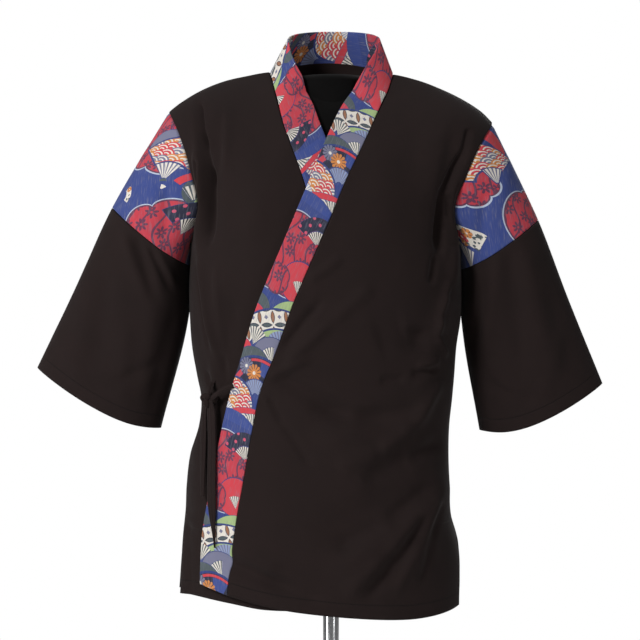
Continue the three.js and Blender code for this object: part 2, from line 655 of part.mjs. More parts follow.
// A strip of the tie, cut off where it goes into the knot.
function tieStrip(points, wide, tip) {
  return geometryOf(solidOf(strip(points, wide, TIE.thick, tip)).subtract(knotSolid(SEAM_GAP)));
}

// The dress form: the torso drawn in a little from the cloth, closed at the arms and foot, with a short neck.
function dressForm() {
  const drops = [4, 9, 16, 26, 42, 62, 90, 125, 165, 205, 245, 300, 360, 420, 480, 540, 600, FORM_BOTTOM_DROP];
  const rings = drops.map((drop) => {
    const inset = lerp(FORM_INSET.shoulder, FORM_INSET.body, ease(0, 130, drop));
    const front = torsoRow(drop, BACK_HEM, false, inset);
    const rear = torsoRow(drop, BACK_HEM, true, inset);
    const row = (r, from, to) => spread(14, r.turnOf(from.x), r.turnOf(to.x)).slice(0, 14).map((turn) => r.pointAt(turn));
    const ring = [...row(front, front.ends.right, front.ends.left), ...row(rear, rear.ends.left, rear.ends.right)];
    const bottom = drop === FORM_BOTTOM_DROP;
    return bottom ? ring.map((p) => p.setZ(NECK_Z - FORM_BOTTOM_DROP)) : ring;
  });
  const count = rings[0].length;
  const positions = rings.flat().flatMap((p) => [p.x, p.y, p.z]);
  const faces = [];
  for (let i = 0; i < rings.length - 1; i += 1) {
    for (let j = 0; j < count; j += 1) {
      const next = (j + 1) % count;
      const [a, b, c, d] = [i * count + j, (i + 1) * count + j, (i + 1) * count + next, i * count + next];
      faces.push(a, b, c, a, c, d);
    }
  }
  const half = count / 2;
  const foot = (rings.length - 1) * count;
  const cap = (from, up) => {
    for (let j = 0; j < half; j += 1) {
      const [a, b] = [from + j, from + j + 1];
      const [c, d] = [from + ((count - j) % count), from + count - j - 1];
      if (up) faces.push(a, b, c, b, d, c);
      else faces.push(a, c, b, b, c, d);
    }
  };
  cap(0, true);
  cap(foot, false);
  const geometry = new THREE.BufferGeometry();
  geometry.setAttribute("position", new THREE.Float32BufferAttribute(positions, 3));
  geometry.setIndex(faces);
  const neckBottom = NECK_Z - 120;
  const neck = new THREE.CylinderGeometry(54, 60, FORM_NECK_TOP - neckBottom, 32);
  neck.rotateX(Math.PI / 2);
  neck.scale(1, 0.95, 1);
  neck.translate(0, 12, (FORM_NECK_TOP + neckBottom) / 2);
  return geometryOf(solidOf(geometry).add(solidOf(neck)));
}

// The base: a round weighted plate with a boss that the pole stands on.
function base() {
  const profile = [[0, 0], [BASE_R, 0], [BASE_R, 5], [BASE_R - 3, 8], [90, 12], [30, 16], [22, 20], [20, 40], [0, 40]];
  const geometry = new THREE.LatheGeometry(profile.map(([r, z]) => new THREE.Vector2(r, z)), 40);
  return geometry.rotateX(Math.PI / 2);
}

add("front_over", overFront(), SEAM_BLACK);
add("front_under", underFront(), SEAM_BLACK);
add("back", back(), SEAM_BLACK);
add("collar_band", collar(), PRINTED);
for (const side of ["right", "left"]) {
  add(`sleeve_${side}_upper`, sleevePiece(side, 0.012, 0.996, 5, false), PRINTED);
  add(`sleeve_${side}_lower`, sleevePiece(side, 1.005, 3, 9, true), SEAM_BLACK);
}
for (const [name, points] of Object.entries(TIE_STRANDS)) {
  add(name, tieStrip(points, TIE.strandWide, 1), SEAM_BLACK);
}
for (const [name, points] of Object.entries(TIE_TAILS)) {
  add(name, tieStrip(points, TIE.wide, 0.4), SEAM_BLACK);
}
add("tie_knot", geometryOf(knotSolid()), SEAM_BLACK);
add("dress_form", dressForm(), FORM_JERSEY);
const poleBottom = 40 + SEAM_GAP;
const poleTop = NECK_Z - FORM_BOTTOM_DROP - SEAM_GAP;
const pole = add("pole", new THREE.CylinderGeometry(POLE_R, POLE_R, poleTop - poleBottom, 32), CHROME);
pole.rotation.x = Math.PI / 2;
pole.position.z = (poleTop + poleBottom) / 2;
add("base_plate", base(), CHROME);

export default root;
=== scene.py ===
import bisect
import functools
import math
from collections import namedtuple

import bmesh
import bpy
from mathutils import Matrix, Vector, noise
from mathutils.bvhtree import BVHTree


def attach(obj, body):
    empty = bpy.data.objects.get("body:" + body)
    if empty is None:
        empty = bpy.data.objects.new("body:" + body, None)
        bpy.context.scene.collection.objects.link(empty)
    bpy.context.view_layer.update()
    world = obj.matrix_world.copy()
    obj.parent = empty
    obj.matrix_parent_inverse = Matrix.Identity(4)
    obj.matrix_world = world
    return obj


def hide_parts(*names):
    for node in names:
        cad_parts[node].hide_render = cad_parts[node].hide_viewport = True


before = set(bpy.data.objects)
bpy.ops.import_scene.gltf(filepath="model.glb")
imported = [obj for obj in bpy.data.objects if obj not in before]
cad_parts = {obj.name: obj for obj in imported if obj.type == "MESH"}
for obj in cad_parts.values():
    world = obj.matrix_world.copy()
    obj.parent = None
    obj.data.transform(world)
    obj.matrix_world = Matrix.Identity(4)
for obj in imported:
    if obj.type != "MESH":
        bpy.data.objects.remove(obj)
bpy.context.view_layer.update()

scene = bpy.context.scene

# The view, the light and the floor.
# The jacket is seen square from the front at chest height, under broad soft lamps, on a plain pale floor.
camera_data = bpy.data.cameras.new("camera")
camera_data.sensor_width = 36
camera_data.lens = 104.46
camera = bpy.data.objects.new("camera", camera_data)
camera.location = (-0.0154, -2.6, 0.907)
camera.rotation_euler = (math.radians(90), 0, 0)
scene.collection.objects.link(camera)
scene.camera = camera
scene.view_settings.view_transform = "Standard"


def soft_lamp(name, place, aim, width, height, power):
    """A soft box that shines from a place towards a point."""
    data = bpy.data.lights.new(name, "AREA")
    data.shape = "RECTANGLE"
    data.size = width
    data.size_y = height
    data.energy = power
    lamp = bpy.data.objects.new(name, data)
    lamp.location = place
    lamp.rotation_euler = (Vector(aim) - Vector(place)).to_track_quat("-Z", "Y").to_euler()
    scene.collection.objects.link(lamp)


soft_lamp("key lamp", (-1.8, -2.2, 2.5), (0, 0, 0.9), 0.8, 0.8, 73)
soft_lamp("left strip", (-1.9, -1.1, 0.8), (0, 0, 0.8), 0.45, 1.6, 11)
soft_lamp("right strip", (1.7, -1.7, 0.9), (0, 0, 0.8), 0.4, 1.6, 9.5)
soft_lamp("top lamp", (0.1, 0.3, 3.0), (0, 0, 0.9), 1.6, 1.6, 6)
soft_lamp("back lamp", (0.6, 2.6, 1.8), (0, 0, 0.9), 1.4, 1.4, 40)

world = bpy.data.worlds.new("studio")
world.use_nodes = True
sky = world.node_tree.nodes["Background"]
sky.inputs["Color"].default_value = (1, 1, 1, 1)
seen = world.node_tree.nodes.new("ShaderNodeLightPath")
strength = world.node_tree.nodes.new("ShaderNodeMapRange")
strength.inputs["To Min"].default_value = 0.12
strength.inputs["To Max"].default_value = 1.0
world.node_tree.links.new(seen.outputs["Is Camera Ray"], strength.inputs["Value"])
world.node_tree.links.new(strength.outputs["Result"], sky.inputs["Strength"])
scene.world = world

floor_mesh = bmesh.new()
bmesh.ops.create_grid(floor_mesh, x_segments=4, y_segments=4, size=2.3)
floor_data = bpy.data.meshes.new("floor")
floor_mesh.to_mesh(floor_data)
floor_mesh.free()
floor = bpy.data.objects.new("floor", floor_data)
scene.collection.objects.link(floor)
floor_finish = bpy.data.materials.new("pale floor")
floor_finish.use_nodes = True
floor_shader = floor_finish.node_tree.nodes["Principled BSDF"]
floor_shader.inputs["Base Color"].default_value = (0.8, 0.8, 0.79, 1)
floor_shader.inputs["Roughness"].default_value = 0.85
floor_data.materials.append(floor_finish)

# The over front, the wearer's left.
# One panel of black poly-cotton twill from its band to the armhole and the side seam, with a turned-up hem.
# It hangs from the shoulder seam over the right front, and the tie draws it towards the wearer's right.
MM = 0.001
NECK_Z = 1254
HEM_DROP = 734
TWILL = 0.95
HEM_TWILL = 2.0
HEM_FOLD = 20
STITCH_LINE = 18.5
STITCH_PITCH = 0.0028
SEAM_GAP = 0.35
NECK_HALF = 86
NECK_BACK_Y = 72
NECK_BACK_RISE = 18
ROUNDNESS = 0.85
ARMHOLE_FLARE = 1.5
NOTCH_Z = 1056
NOTCH_WIDE = 34
VENT_TOP_DROP = 628
VENT_SPREAD = 7

# Half widths and depths of the worn cloth at each drop below the neck point.
BODY = {
    "drop": (0, 60, 130, 240, 300, 343, 384, 424, 457, 494, 534, 576, 614, 654, 694, 740),
    "right": (195, 195, 195, 196, 198, 197, 194, 187, 181, 184.5, 196.5, 201.5, 203, 207, 211.5, 215.5),
    "left": (181, 181, 181, 181, 182, 181, 175, 172, 169, 165, 164, 165.5, 167, 176.5, 182, 183),
    "front": (118, 118, 121, 129, 131, 129, 126, 123, 122, 124, 128, 132, 136, 140, 143, 146),
    "back": (100, 106, 114, 119, 116, 111, 106, 102, 101, 104, 110, 116, 121, 125, 128, 131),
}
# How far the shoulder line falls, out along each shoulder.
SHOULDER = {
    "out": (0, 84, 120, 150, 180, 210, 228),
    "right": (0, 0, 6, 13, 25, 43, 57),
    "left": (0, 3, 11, 22, 36, 55, 73),
}
Armhole = namedtuple("Armhole", "sign top_x foot_x top_z foot_z hollow front back notch")
ARMHOLE = {
    "right": Armhole(-1, 226.5, 195, 1197, 1015, 14, 72, 76, 8),
    "left": Armhole(1, 225.5, 180, 1180, 1005, 14, 72, 76, 8),
}
# Height of the hem across each panel.
HEM = {
    "over": {
        "x": (-180, -140, -90, -41, 36, 100, 135, 160, 180),
        "z": (552, 539, 527, 519, 511.5, 508, 509.5, 513, 518),
    },
    "under": {"x": (-215, -195, -142, -90, 0, 140), "z": (531, 533, 527.5, 521, 522, 528)},
    "back": {"x": (-215, 0, 180), "z": (530, 527, 531)},
}
# The band down the over front: where its seam and its free edge are at each height.
OVER_BAND = {
    "z": (1252, 1226, 1197, 1150, 1095, 1041, 934, 893, 855, 814, 762, 697, 655, 617, 582, 530),
    "seam": (87, 80, 67, 45.5, 19.5, -2.7, -49, -64, -78, -94.5, -106, -117, -124.5, -130.5, -135, -141),
    "free": (
        57, 31.5, 12.5, -8, -29.5, -52, -96.5, -110.5, -121.5, -135, -148, -160, -168.5, -174.7, -176.6, -177,
    ),
}


def ease(start, end, at):
    """A share that goes smoothly from 0 at start to 1 at end."""
    t = min(max((at - start) / (end - start), 0), 1)
    return t * t * (3 - 2 * t)


def lerp(a, b, share):
    return a + (b - a) * share


def clamp(value, low, high):
    return min(max(value, low), high)


def read(table, key, at, name):
    """A smooth value from a table, read down one named column."""
    keys, values = table[key], table[name]
    if keys[0] > keys[-1]:
        keys, values = keys[::-1], values[::-1]
    last = len(keys) - 1
    place = clamp(at, keys[0], keys[last])
    i = clamp(bisect.bisect_left(keys, place) - 1, 0, last - 1)

    def slope(k):
        a, b = max(k - 1, 0), min(k + 1, last)
        return (values[b] - values[a]) / (keys[b] - keys[a])

    span = keys[i + 1] - keys[i]
    t = (place - keys[i]) / span
    value = (2 * t**3 - 3 * t**2 + 1) * values[i] + (3 * t**2 - 2 * t**3) * values[i + 1]
    return value + span * ((t**3 - 2 * t**2 + t) * slope(i) + (t**3 - t**2) * slope(i + 1))


def side_of(x):
    return "right" if x < 0 else "left"


def height_at(x, drop, hem, back):
    """Height of the worn cloth at a place across and a drop below the neck point."""
    rise = NECK_BACK_RISE * max(0, 1 - (x / NECK_HALF) ** 2) * (1 - ease(0, 120, drop)) if back else 0
    fall = (1 - ease(0, 240, drop)) * read(SHOULDER, "out", abs(x), side_of(x))
    lift = ease(560, HEM_DROP, drop) * (read(HEM[hem], "x", x, "z") - NECK_Z + HEM_DROP)
    return NECK_Z + rise - drop - fall + lift


def depth_share(x, drop):
    """The share of the full depth that the cloth has reached below the shoulder line."""
    outward = ease(NECK_HALF, 215, abs(x))
    fallen = 1 - (1 - min(drop / lerp(200, 150, outward), 1)) ** 2
    return fallen ** lerp(1, 0.5, outward)


def neck_push(x, drop):
    """How far back the neckline pushes the cloth."""
    half = NECK_HALF + 60 * ease(0, 90, drop)
    return NECK_BACK_Y * max(0, 1 - (x / half) ** 2) ** lerp(0.5, 1.7, ease(0, 45, drop))


def armhole_point(side, angle, inset=0):
    """A point of an armhole.
    Angle 0 is the shoulder tip, a quarter turn is the front and a half turn is under the arm."""
    a = ARMHOLE[side]
    out = lerp(a.foot_x, a.top_x, ((1 + math.cos(angle)) / 2) ** ARMHOLE_FLARE)
    depth = a.front if math.sin(angle) > 0 else a.back
    z = (a.top_z + a.foot_z) / 2 + (a.top_z - a.foot_z) / 2 * math.cos(angle)
    notch = a.notch * math.exp(-(((z - NOTCH_Z) / NOTCH_WIDE) ** 2)) if math.sin(angle) > 0 else 0
    out -= (a.hollow + notch) * math.sin(angle) ** 2 + inset
    return Vector((a.sign * out, -(depth - inset) * math.sin(angle), z))


@functools.lru_cache(maxsize=None)
def row_end(side, drop, hem, back, inset):
    """The outer end of a level, on the armhole or at the side seam below it.
    Gives its place across and its scale."""
    a = ARMHOLE[side]
    base = max(drop, 0.5)
    end = armhole_point(side, 0, inset)
    for _ in range(12):
        z = height_at(end.x, base, hem, back)
        if z <= a.foot_z:
            x = a.sign * (read(BODY, "drop", drop, side) - inset)
            return x, abs(x)
        angle = math.acos(clamp((2 * z - a.top_z - a.foot_z) / (a.top_z - a.foot_z), -1, 1))
        end = armhole_point(side, 2 * math.pi - angle if back else angle, inset)
    depth = (read(BODY, "drop", base, "back" if back else "front") - inset) * depth_share(end.x, base)
    turn = math.acos(clamp(abs(end.y) / depth, 0, 0.97) ** (1 / ROUNDNESS))
    return end.x, abs(end.x) / math.sin(turn) ** ROUNDNESS


class Level:
    """One level round the worn cloth.
    turn() finds a place across it, and point() gives the place in space."""

    def __init__(self, drop, hem, back, inset=0):
        self.drop, self.hem, self.back, self.inset = drop, hem, back, inset
        near = round(drop * 2) / 2
        self.end = {side: row_end(side, near, hem, back, inset) for side in ("right", "left")}
        self.depth = read(BODY, "drop", drop, "back" if back else "front") - inset

    def turn(self, x):
        share = clamp(abs(x) / self.end[side_of(x)][1], 0, 1)
        return math.copysign(math.asin(share ** (1 / ROUNDNESS)), x)

    def point(self, turn):
        scale = self.end["right" if turn < 0 else "left"][1]
        x = math.copysign(scale * abs(math.sin(turn)) ** ROUNDNESS, turn)
        share = depth_share(x, self.drop)
        y = share * self.depth * max(math.cos(turn), 0) ** ROUNDNESS
        ridge = neck_push(x, self.drop) * (1 - share) if self.back and not self.inset else 0
        fall = self.inset * (1 - ease(0, 240, self.drop))
        z = height_at(x, self.drop, self.hem, self.back and not self.inset) - fall
        return Vector((x, y + ridge if self.back else -y, z))


def front_at(x, z, hem="over"):
    """The point of the front that is seen at a place across and a height."""
    drop = NECK_Z - z
    for _ in range(24):
        drop = clamp(drop + height_at(x, drop, hem, False) - z, 0, HEM_DROP + 20)
    level = Level(drop, hem, False)
    return level.point(level.turn(x))


# Creases, as lines in the front view: both ends, half width and height in millimetres. A trough is negative.
Crease = namedtuple("Crease", "x0 z0 x1 z1 wide high")
# The heights in the fronts' tables are multiplied by this.
FOLD_DEPTH = 1.3
OVER_CREASES = [
    Crease(166, 1100, 164, 945, 9, 7),
    Crease(172, 1170, 145, 1000, 14, -5),
    Crease(158, 940, 143, 890, 13, 4),
    Crease(143, 905, 112, 752, 16, 4),
    Crease(100, 893, 60, 880, 26, -3),
    Crease(-20, 735, 125, 790, 26, 4),
    Crease(-15, 622, 130, 690, 24, -4),
    Crease(5, 565, 150, 690, 24, 5),
    Crease(150, 690, 108, 560, 18, 5),
    # The deep fold along the armhole, and the small ones where it ends.
    Crease(190, 1168, 184, 1136, 4.5, -4.5),
    Crease(185, 1138, 154, 1080, 5, -7.5),
    Crease(154, 1084, 145, 1000, 5.5, -8),
    Crease(161, 1076, 160, 1046, 3, -4),
    Crease(155, 1072, 153, 990, 4, 3),
    Crease(140, 994, 134, 956, 5, -4),
    Crease(60, 1150, 76, 1010, 22, 1.4),
    Crease(118, 1180, 112, 1060, 20, -1.6),
    # The hollow of the waist at the wearer's left.
    Crease(158, 958, 143, 911, 4.5, 3.8),
    Crease(143, 911, 141, 884, 4.5, 4.2),
    Crease(141, 884, 157, 857, 4.5, 3.6),
    Crease(118, 898, 116, 864, 16, -5.5),
    Crease(114, 845, 144, 851, 4.5, 3.4),
    Crease(108, 834, 141, 840, 5, -3.6),
    Crease(66, 826, 98, 828, 6, -2.6),
    # The pull of the tie, up and down from its sewn end.
    Crease(-66, 868, -12, 934, 7, -3.6),
    Crease(-60, 850, 0, 905, 8, 3.4),
    Crease(0, 905, 54, 952, 10, 2.6),
    Crease(-30, 960, 14, 990, 7, 2.4),
    Crease(-84, 830, -30, 856, 7, 3.2),
    Crease(-78, 838, 24, 776, 12, -4.8),
    Crease(-24, 788, 88, 770, 13, -4.4),
    Crease(36, 776, 124, 790, 12, -4.4),
    Crease(-84, 803, -66, 769, 3.6, -3.2),
    Crease(-66, 769, -27, 712, 4.5, -2.2),
    # The long folds of the skirt, down from the left side.
    Crease(147, 822, 107, 764, 9, 4.6),
    Crease(107, 764, 62, 730, 11, 4.6),
    Crease(62, 730, 9, 712, 13, 3.6),
    Crease(148, 740, 107, 722, 11, -4.6),
    Crease(107, 722, 45, 692, 14, -4.4),
    Crease(136, 684, 70, 634, 11, -5.6),
    Crease(70, 634, 6, 604, 13, -5.2),
    Crease(128, 660, 68, 592, 10, 4.6),
    Crease(68, 592, 18, 542, 11, 4.4),
    Crease(122, 646, 96, 600, 8, -3.4),
    Crease(96, 600, 46, 536, 9, -3.8),
    Crease(140, 664, 116, 612, 7, 3.4),
    Crease(116, 612, 86, 545, 8, 2.8),
    Crease(147, 660, 132, 612, 6, -3.4),
    Crease(132, 612, 120, 552, 7, -3.0),
    Crease(-128, 600, -70, 572, 10, 3.0),
    Crease(-152, 590, -50, 548, 10, -4.6),
    Crease(-90, 562, -12, 536, 10, -3.6),
]


def crease_height(creases, x, z):
    """How far a set of creases lifts the cloth at a place in the front or back view."""
    total = 0
    for c in creases:
        dx, dz = c.x1 - c.x0, c.z1 - c.z0
        along = clamp(((x - c.x0) * dx + (z - c.z0) * dz) / (dx * dx + dz * dz), -0.12, 1.12)
        off = math.hypot(x - c.x0 - along * dx, z - c.z0 - along * dz) / c.wide
        if off < 3:
            fade = ease(-0.12, 0.2, along) * (1 - ease(0.75, 1.12, along))
            total += c.high * fade * math.exp(-(off**2))
    return total


def pushed(point, distance):
    """A point of the torso's cloth moved level, away from the body's middle."""
    way = Vector((0.7 * point.x, 1.3 * point.y, 0))
    return point + way.normalized() * distance


def limpness(x, z, seed):
    """The slight unevenness of hanging cloth: broad, soft and taller than wide."""
    broad = noise.noise(Vector((x / 70, z / 130, seed)))
    fine = noise.noise(Vector((x / 24, z / 52, seed)))
    return 1.1 * broad + 0.35 * fine


def over_lift(x, z):
    return FOLD_DEPTH * crease_height(OVER_CREASES, x, z) + limpness(x, z, 3.5)


def drop_of(down):
    """Levels lie closer together near the shoulder."""
    return HEM_DROP * (0.3 * down + 0.7 * down**1.4)


def vent_shift(drop):
    return VENT_SPREAD * ease(VENT_TOP_DROP, HEM_DROP, drop)


@functools.lru_cache(maxsize=None)
def over_level(drop):
    """A level of the over front, with the turns at its band seam and at its outer edge."""
    level = Level(drop, "over", False)
    start = 0
    for _ in range(14):
        start = read(OVER_BAND, "z", height_at(start, drop, "over", False), "seam")
    end = level.end["left"][0] - SEAM_GAP - vent_shift(drop)
    return level, level.turn(start + SEAM_GAP), level.turn(end)


def over_front_at(across, drop):
    """A point of the over front: across is 0 at the band and 1 at the side."""
    level, start, end = over_level(drop)
    p = level.point(lerp(start, end, across))
    p = pushed(p, over_lift(p.x, p.z) * ease(0, 3 / 26, 1 - across))
    p.y = min(p.y, -SEAM_GAP / 2)
    return p


def finish_mesh(name, mesh, finish, smooth=True):
    """Makes an object of a mesh with its finish, and puts it in the scene."""
    data = bpy.data.meshes.new(name)
    mesh.to_mesh(data)
    mesh.free()
    piece = bpy.data.objects.new(name, data)
    scene.collection.objects.link(piece)
    data.materials.append(finish)
    if smooth:
        data.polygons.foreach_set("use_smooth", [True] * len(data.polygons))
    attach(piece, "root")
    return piece


def cloth(name, columns, rows, place, cut, finish, wall, hem_wall=None, to_hem=None, tube=False):
    """A shell of cloth on a grid.
    place(across, down) is in millimetres, and cut(across, down) is the flat pattern's place.
    It is hem_wall thick as far as HEM_FOLD from the hem, which is to_hem(across, down) away,
    and wall thick elsewhere."""
    mesh = bmesh.new()
    flat = mesh.loops.layers.uv.new("cut")
    weight = mesh.verts.layers.deform.verify()
    edge_reach = mesh.verts.layers.float.new("hem reach")
    bmesh.ops.create_grid(mesh, x_segments=columns, y_segments=rows, size=0.5)
    share = {v: (v.co.x + 0.5, 0.5 - v.co.y) for v in mesh.verts}
    for face in mesh.faces:
        for loop in face.loops:
            loop[flat].uv = cut(*share[loop.vert])
    for vert, (across, down) in share.items():
        vert.co = place(across, down) * MM
        vert[edge_reach] = to_hem(across, down) if to_hem else 2 * HEM_FOLD
        vert[weight][0] = 1 - ease(HEM_FOLD - 1.5, HEM_FOLD + 1.5, vert[edge_reach])
    if tube:
        bmesh.ops.remove_doubles(mesh, verts=mesh.verts, dist=1e-6)
    piece = finish_mesh(name, mesh, finish)
    piece.vertex_groups.new(name="hem")
    shell = piece.modifiers.new("cloth", "SOLIDIFY")
    shell.thickness = (hem_wall or wall) * MM
    shell.offset = -1
    shell.use_rim = True
    if to_hem:
        shell.vertex_group = "hem"
        shell.thickness_vertex_group = wall / hem_wall
    return piece


def link(tree, value, socket):
    """Sets a socket to a number, or joins it to another socket."""
    if isinstance(value, (int, float, tuple)):
        socket.default_value = value
    else:
        tree.links.new(value, socket)


def calc(tree, kind, *values):
    """One step of arithmetic in a material."""
    node = tree.nodes.new("ShaderNodeMath")
    node.operation = kind
    for value, socket in zip(values, node.inputs):
        link(tree, value, socket)
    return node.outputs[0]


def both(tree, *tests):
    """1 where all of the tests are 1."""
    return functools.reduce(lambda one, other: calc(tree, "MULTIPLY", one, other), tests)


def colour_mix(tree, share, under, over):
    node = tree.nodes.new("ShaderNodeMix")
    node.data_type = "RGBA"
    link(tree, share, node.inputs[0])
    link(tree, under, node.inputs[6])
    link(tree, over, node.inputs[7])
    return node.outputs[2]


def vector_calc(tree, kind, a, b=None, scale=None):
    node = tree.nodes.new("ShaderNodeVectorMath")
    node.operation = kind
    link(tree, a, node.inputs[0])
    if b is not None:
        link(tree, b, node.inputs[1])
    if scale is not None:
        link(tree, scale, node.inputs["Scale"])
    return node.outputs["Value"] if kind in ("LENGTH", "DISTANCE", "DOT_PRODUCT") else node.outputs["Vector"]


def axes(tree, vector):
    node = tree.nodes.new("ShaderNodeSeparateXYZ")
    link(tree, vector, node.inputs[0])
    return node.outputs[0], node.outputs[1], node.outputs[2]


def tuple_to_vector(tree, x, y):
    node = tree.nodes.new("ShaderNodeCombineXYZ")
    link(tree, x, node.inputs[0])
    link(tree, y, node.inputs[1])
    return node.outputs[0]


def noise_value(tree, place, scale, detail=2):
    node = tree.nodes.new("ShaderNodeTexNoise")
    node.inputs["Scale"].default_value = scale
    node.inputs["Detail"].default_value = detail
    link(tree, place, node.inputs["Vector"])
    return node.outputs["Fac"]


def node_group(name, inputs, outputs):
    """An empty shader group with named sockets."""
    tree = bpy.data.node_groups.new(name, "ShaderNodeTree")
    for socket, kind in inputs.items():
        tree.interface.new_socket(socket, in_out="INPUT", socket_type=kind)
    for socket, kind in outputs.items():
        tree.interface.new_socket(socket, in_out="OUTPUT", socket_type=kind)
    return tree, tree.nodes.new("NodeGroupInput").outputs, tree.nodes.new("NodeGroupOutput").inputs


def use_group(tree, group, **values):
    """Places a group in a material or in another group. Each value goes to the input of its name."""
    node = tree.nodes.new("ShaderNodeGroup")
    node.node_tree = group
    for name, value in values.items():
        link(tree, value, node.inputs[name.replace("_", " ").capitalize()])
    return node.outputs


def linear(code):
    """A colour from its code, as light rather than as paint-box numbers."""
    parts = [int(code[i : i + 2], 16) / 255 for i in (0, 2, 4)]
    return (*[p / 12.92 if p <= 0.04045 else ((p + 0.055) / 1.055) ** 2.4 for p in parts], 1.0)


# The weave: diagonal twill ribs crossed by fine threads, with a few thicker slubs.
twill_group, given, made = node_group(
    "twill weave",
    {"Place": "NodeSocketVector", "Pitch": "NodeSocketFloat"},
    {"Height": "NodeSocketFloat", "Tone": "NodeSocketFloat"},
)
# sums is calc inside the group that is being made.
sums = functools.partial(calc, twill_group)
sx, sy, _ = axes(twill_group, vector_calc(twill_group, "SCALE", given["Place"], scale=1000.0))
rib = sums("DIVIDE", sums("ADD", sx, sums("MULTIPLY", sy, 0.8)), given["Pitch"])
rib = sums("PINGPONG", rib, 0.5)
thread = sums("PINGPONG", sums("DIVIDE", sx, sums("MULTIPLY", given["Pitch"], 0.62)), 0.5)
slub_place = vector_calc(twill_group, "MULTIPLY", given["Place"], (60.0, 900.0, 1.0))
slub = noise_value(twill_group, slub_place, 1.0, 3)
mottle = noise_value(twill_group, given["Place"], 26.0, 4)
height = sums("ADD", sums("MULTIPLY", rib, 1.3), sums("MULTIPLY", thread, 0.5))
height = sums("ADD", height, sums("MULTIPLY", slub, 0.7))
twill_group.links.new(height, made["Height"])
tone = sums("ADD", sums("MULTIPLY", mottle, 0.7), sums("MULTIPLY", slub, 0.3))
twill_group.links.new(tone, made["Tone"])


def cloth_finish(name, sheen):
    """An empty cloth material: gives its tree and its shader."""
    finish = bpy.data.materials.new(name)
    finish.use_nodes = True
    shader = finish.node_tree.nodes["Principled BSDF"]
    shader.inputs["Sheen Weight"].default_value = sheen
    shader.inputs["Sheen Roughness"].default_value = 0.45
    shader.inputs["Specular IOR Level"].default_value = 0.14
    return finish, finish.node_tree, shader


def bumped(tree, height, depth, strength):
    node = tree.nodes.new("ShaderNodeBump")
    node.inputs["Distance"].default_value = depth
    node.inputs["Strength"].default_value = strength
    link(tree, height, node.inputs["Height"])
    return node.outputs[0]


black_twill, tree, shader = cloth_finish("black twill", 0.05)
cut_place = tree.nodes.new("ShaderNodeUVMap")
cut_place.uv_map = "cut"
weave = use_group(tree, twill_group, place=cut_place.outputs[0], pitch=0.62)
dyed = colour_mix(tree, weave["Tone"], linear("1b1312"), linear("261c1b"))
rough = tree.nodes.new("ShaderNodeMapRange")
rough.inputs["To Min"].default_value = 0.78
rough.inputs["To Max"].default_value = 0.95
link(tree, weave["Tone"], rough.inputs["Value"])
link(tree, rough.outputs[0], shader.inputs["Roughness"])
# The stitches draw the cloth in along a line above each hem.
hem_reach = tree.nodes.new("ShaderNodeAttribute")
hem_reach.attribute_name = "hem reach"
from_line = calc(tree, "ABSOLUTE", calc(tree, "SUBTRACT", hem_reach.outputs["Fac"], STITCH_LINE))
groove = tree.nodes.new("ShaderNodeMapRange")
groove.interpolation_type = "SMOOTHSTEP"
groove.inputs["From Max"].default_value = 1.8
link(tree, from_line, groove.inputs["Value"])
cut_x, _, _ = axes(tree, cut_place.outputs[0])
stitch_step = calc(tree, "PINGPONG", calc(tree, "DIVIDE", cut_x, STITCH_PITCH), 0.5)
stitch = both(tree, calc(tree, "LESS_THAN", from_line, 0.4), calc(tree, "GREATER_THAN", stitch_step, 0.13))
ribbed = calc(tree, "MULTIPLY", weave["Height"], 0.12)
dented = calc(tree, "ADD", ribbed, calc(tree, "MULTIPLY", groove.outputs[0], 0.55))
dented = calc(tree, "ADD", dented, calc(tree, "MULTIPLY", stitch, 0.7))
link(tree, colour_mix(tree, stitch, dyed, linear("0b0909")), shader.inputs["Base Color"])
link(tree, bumped(tree, dented, 0.0009, 0.6), shader.inputs["Normal"])


def body_cut(width):
    """The flat pattern of a panel, in metres, with the grain straight down."""
    return lambda across, down: (across * width, drop_of(down) * MM)


def body_hem(across, down):
    return HEM_DROP - drop_of(down)


over_front = cloth(
    "over_front", 132, 200, lambda across, down: over_front_at(across, drop_of(down)),
    body_cut(0.30), black_twill, TWILL, HEM_TWILL, body_hem,
)
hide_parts("front_over")

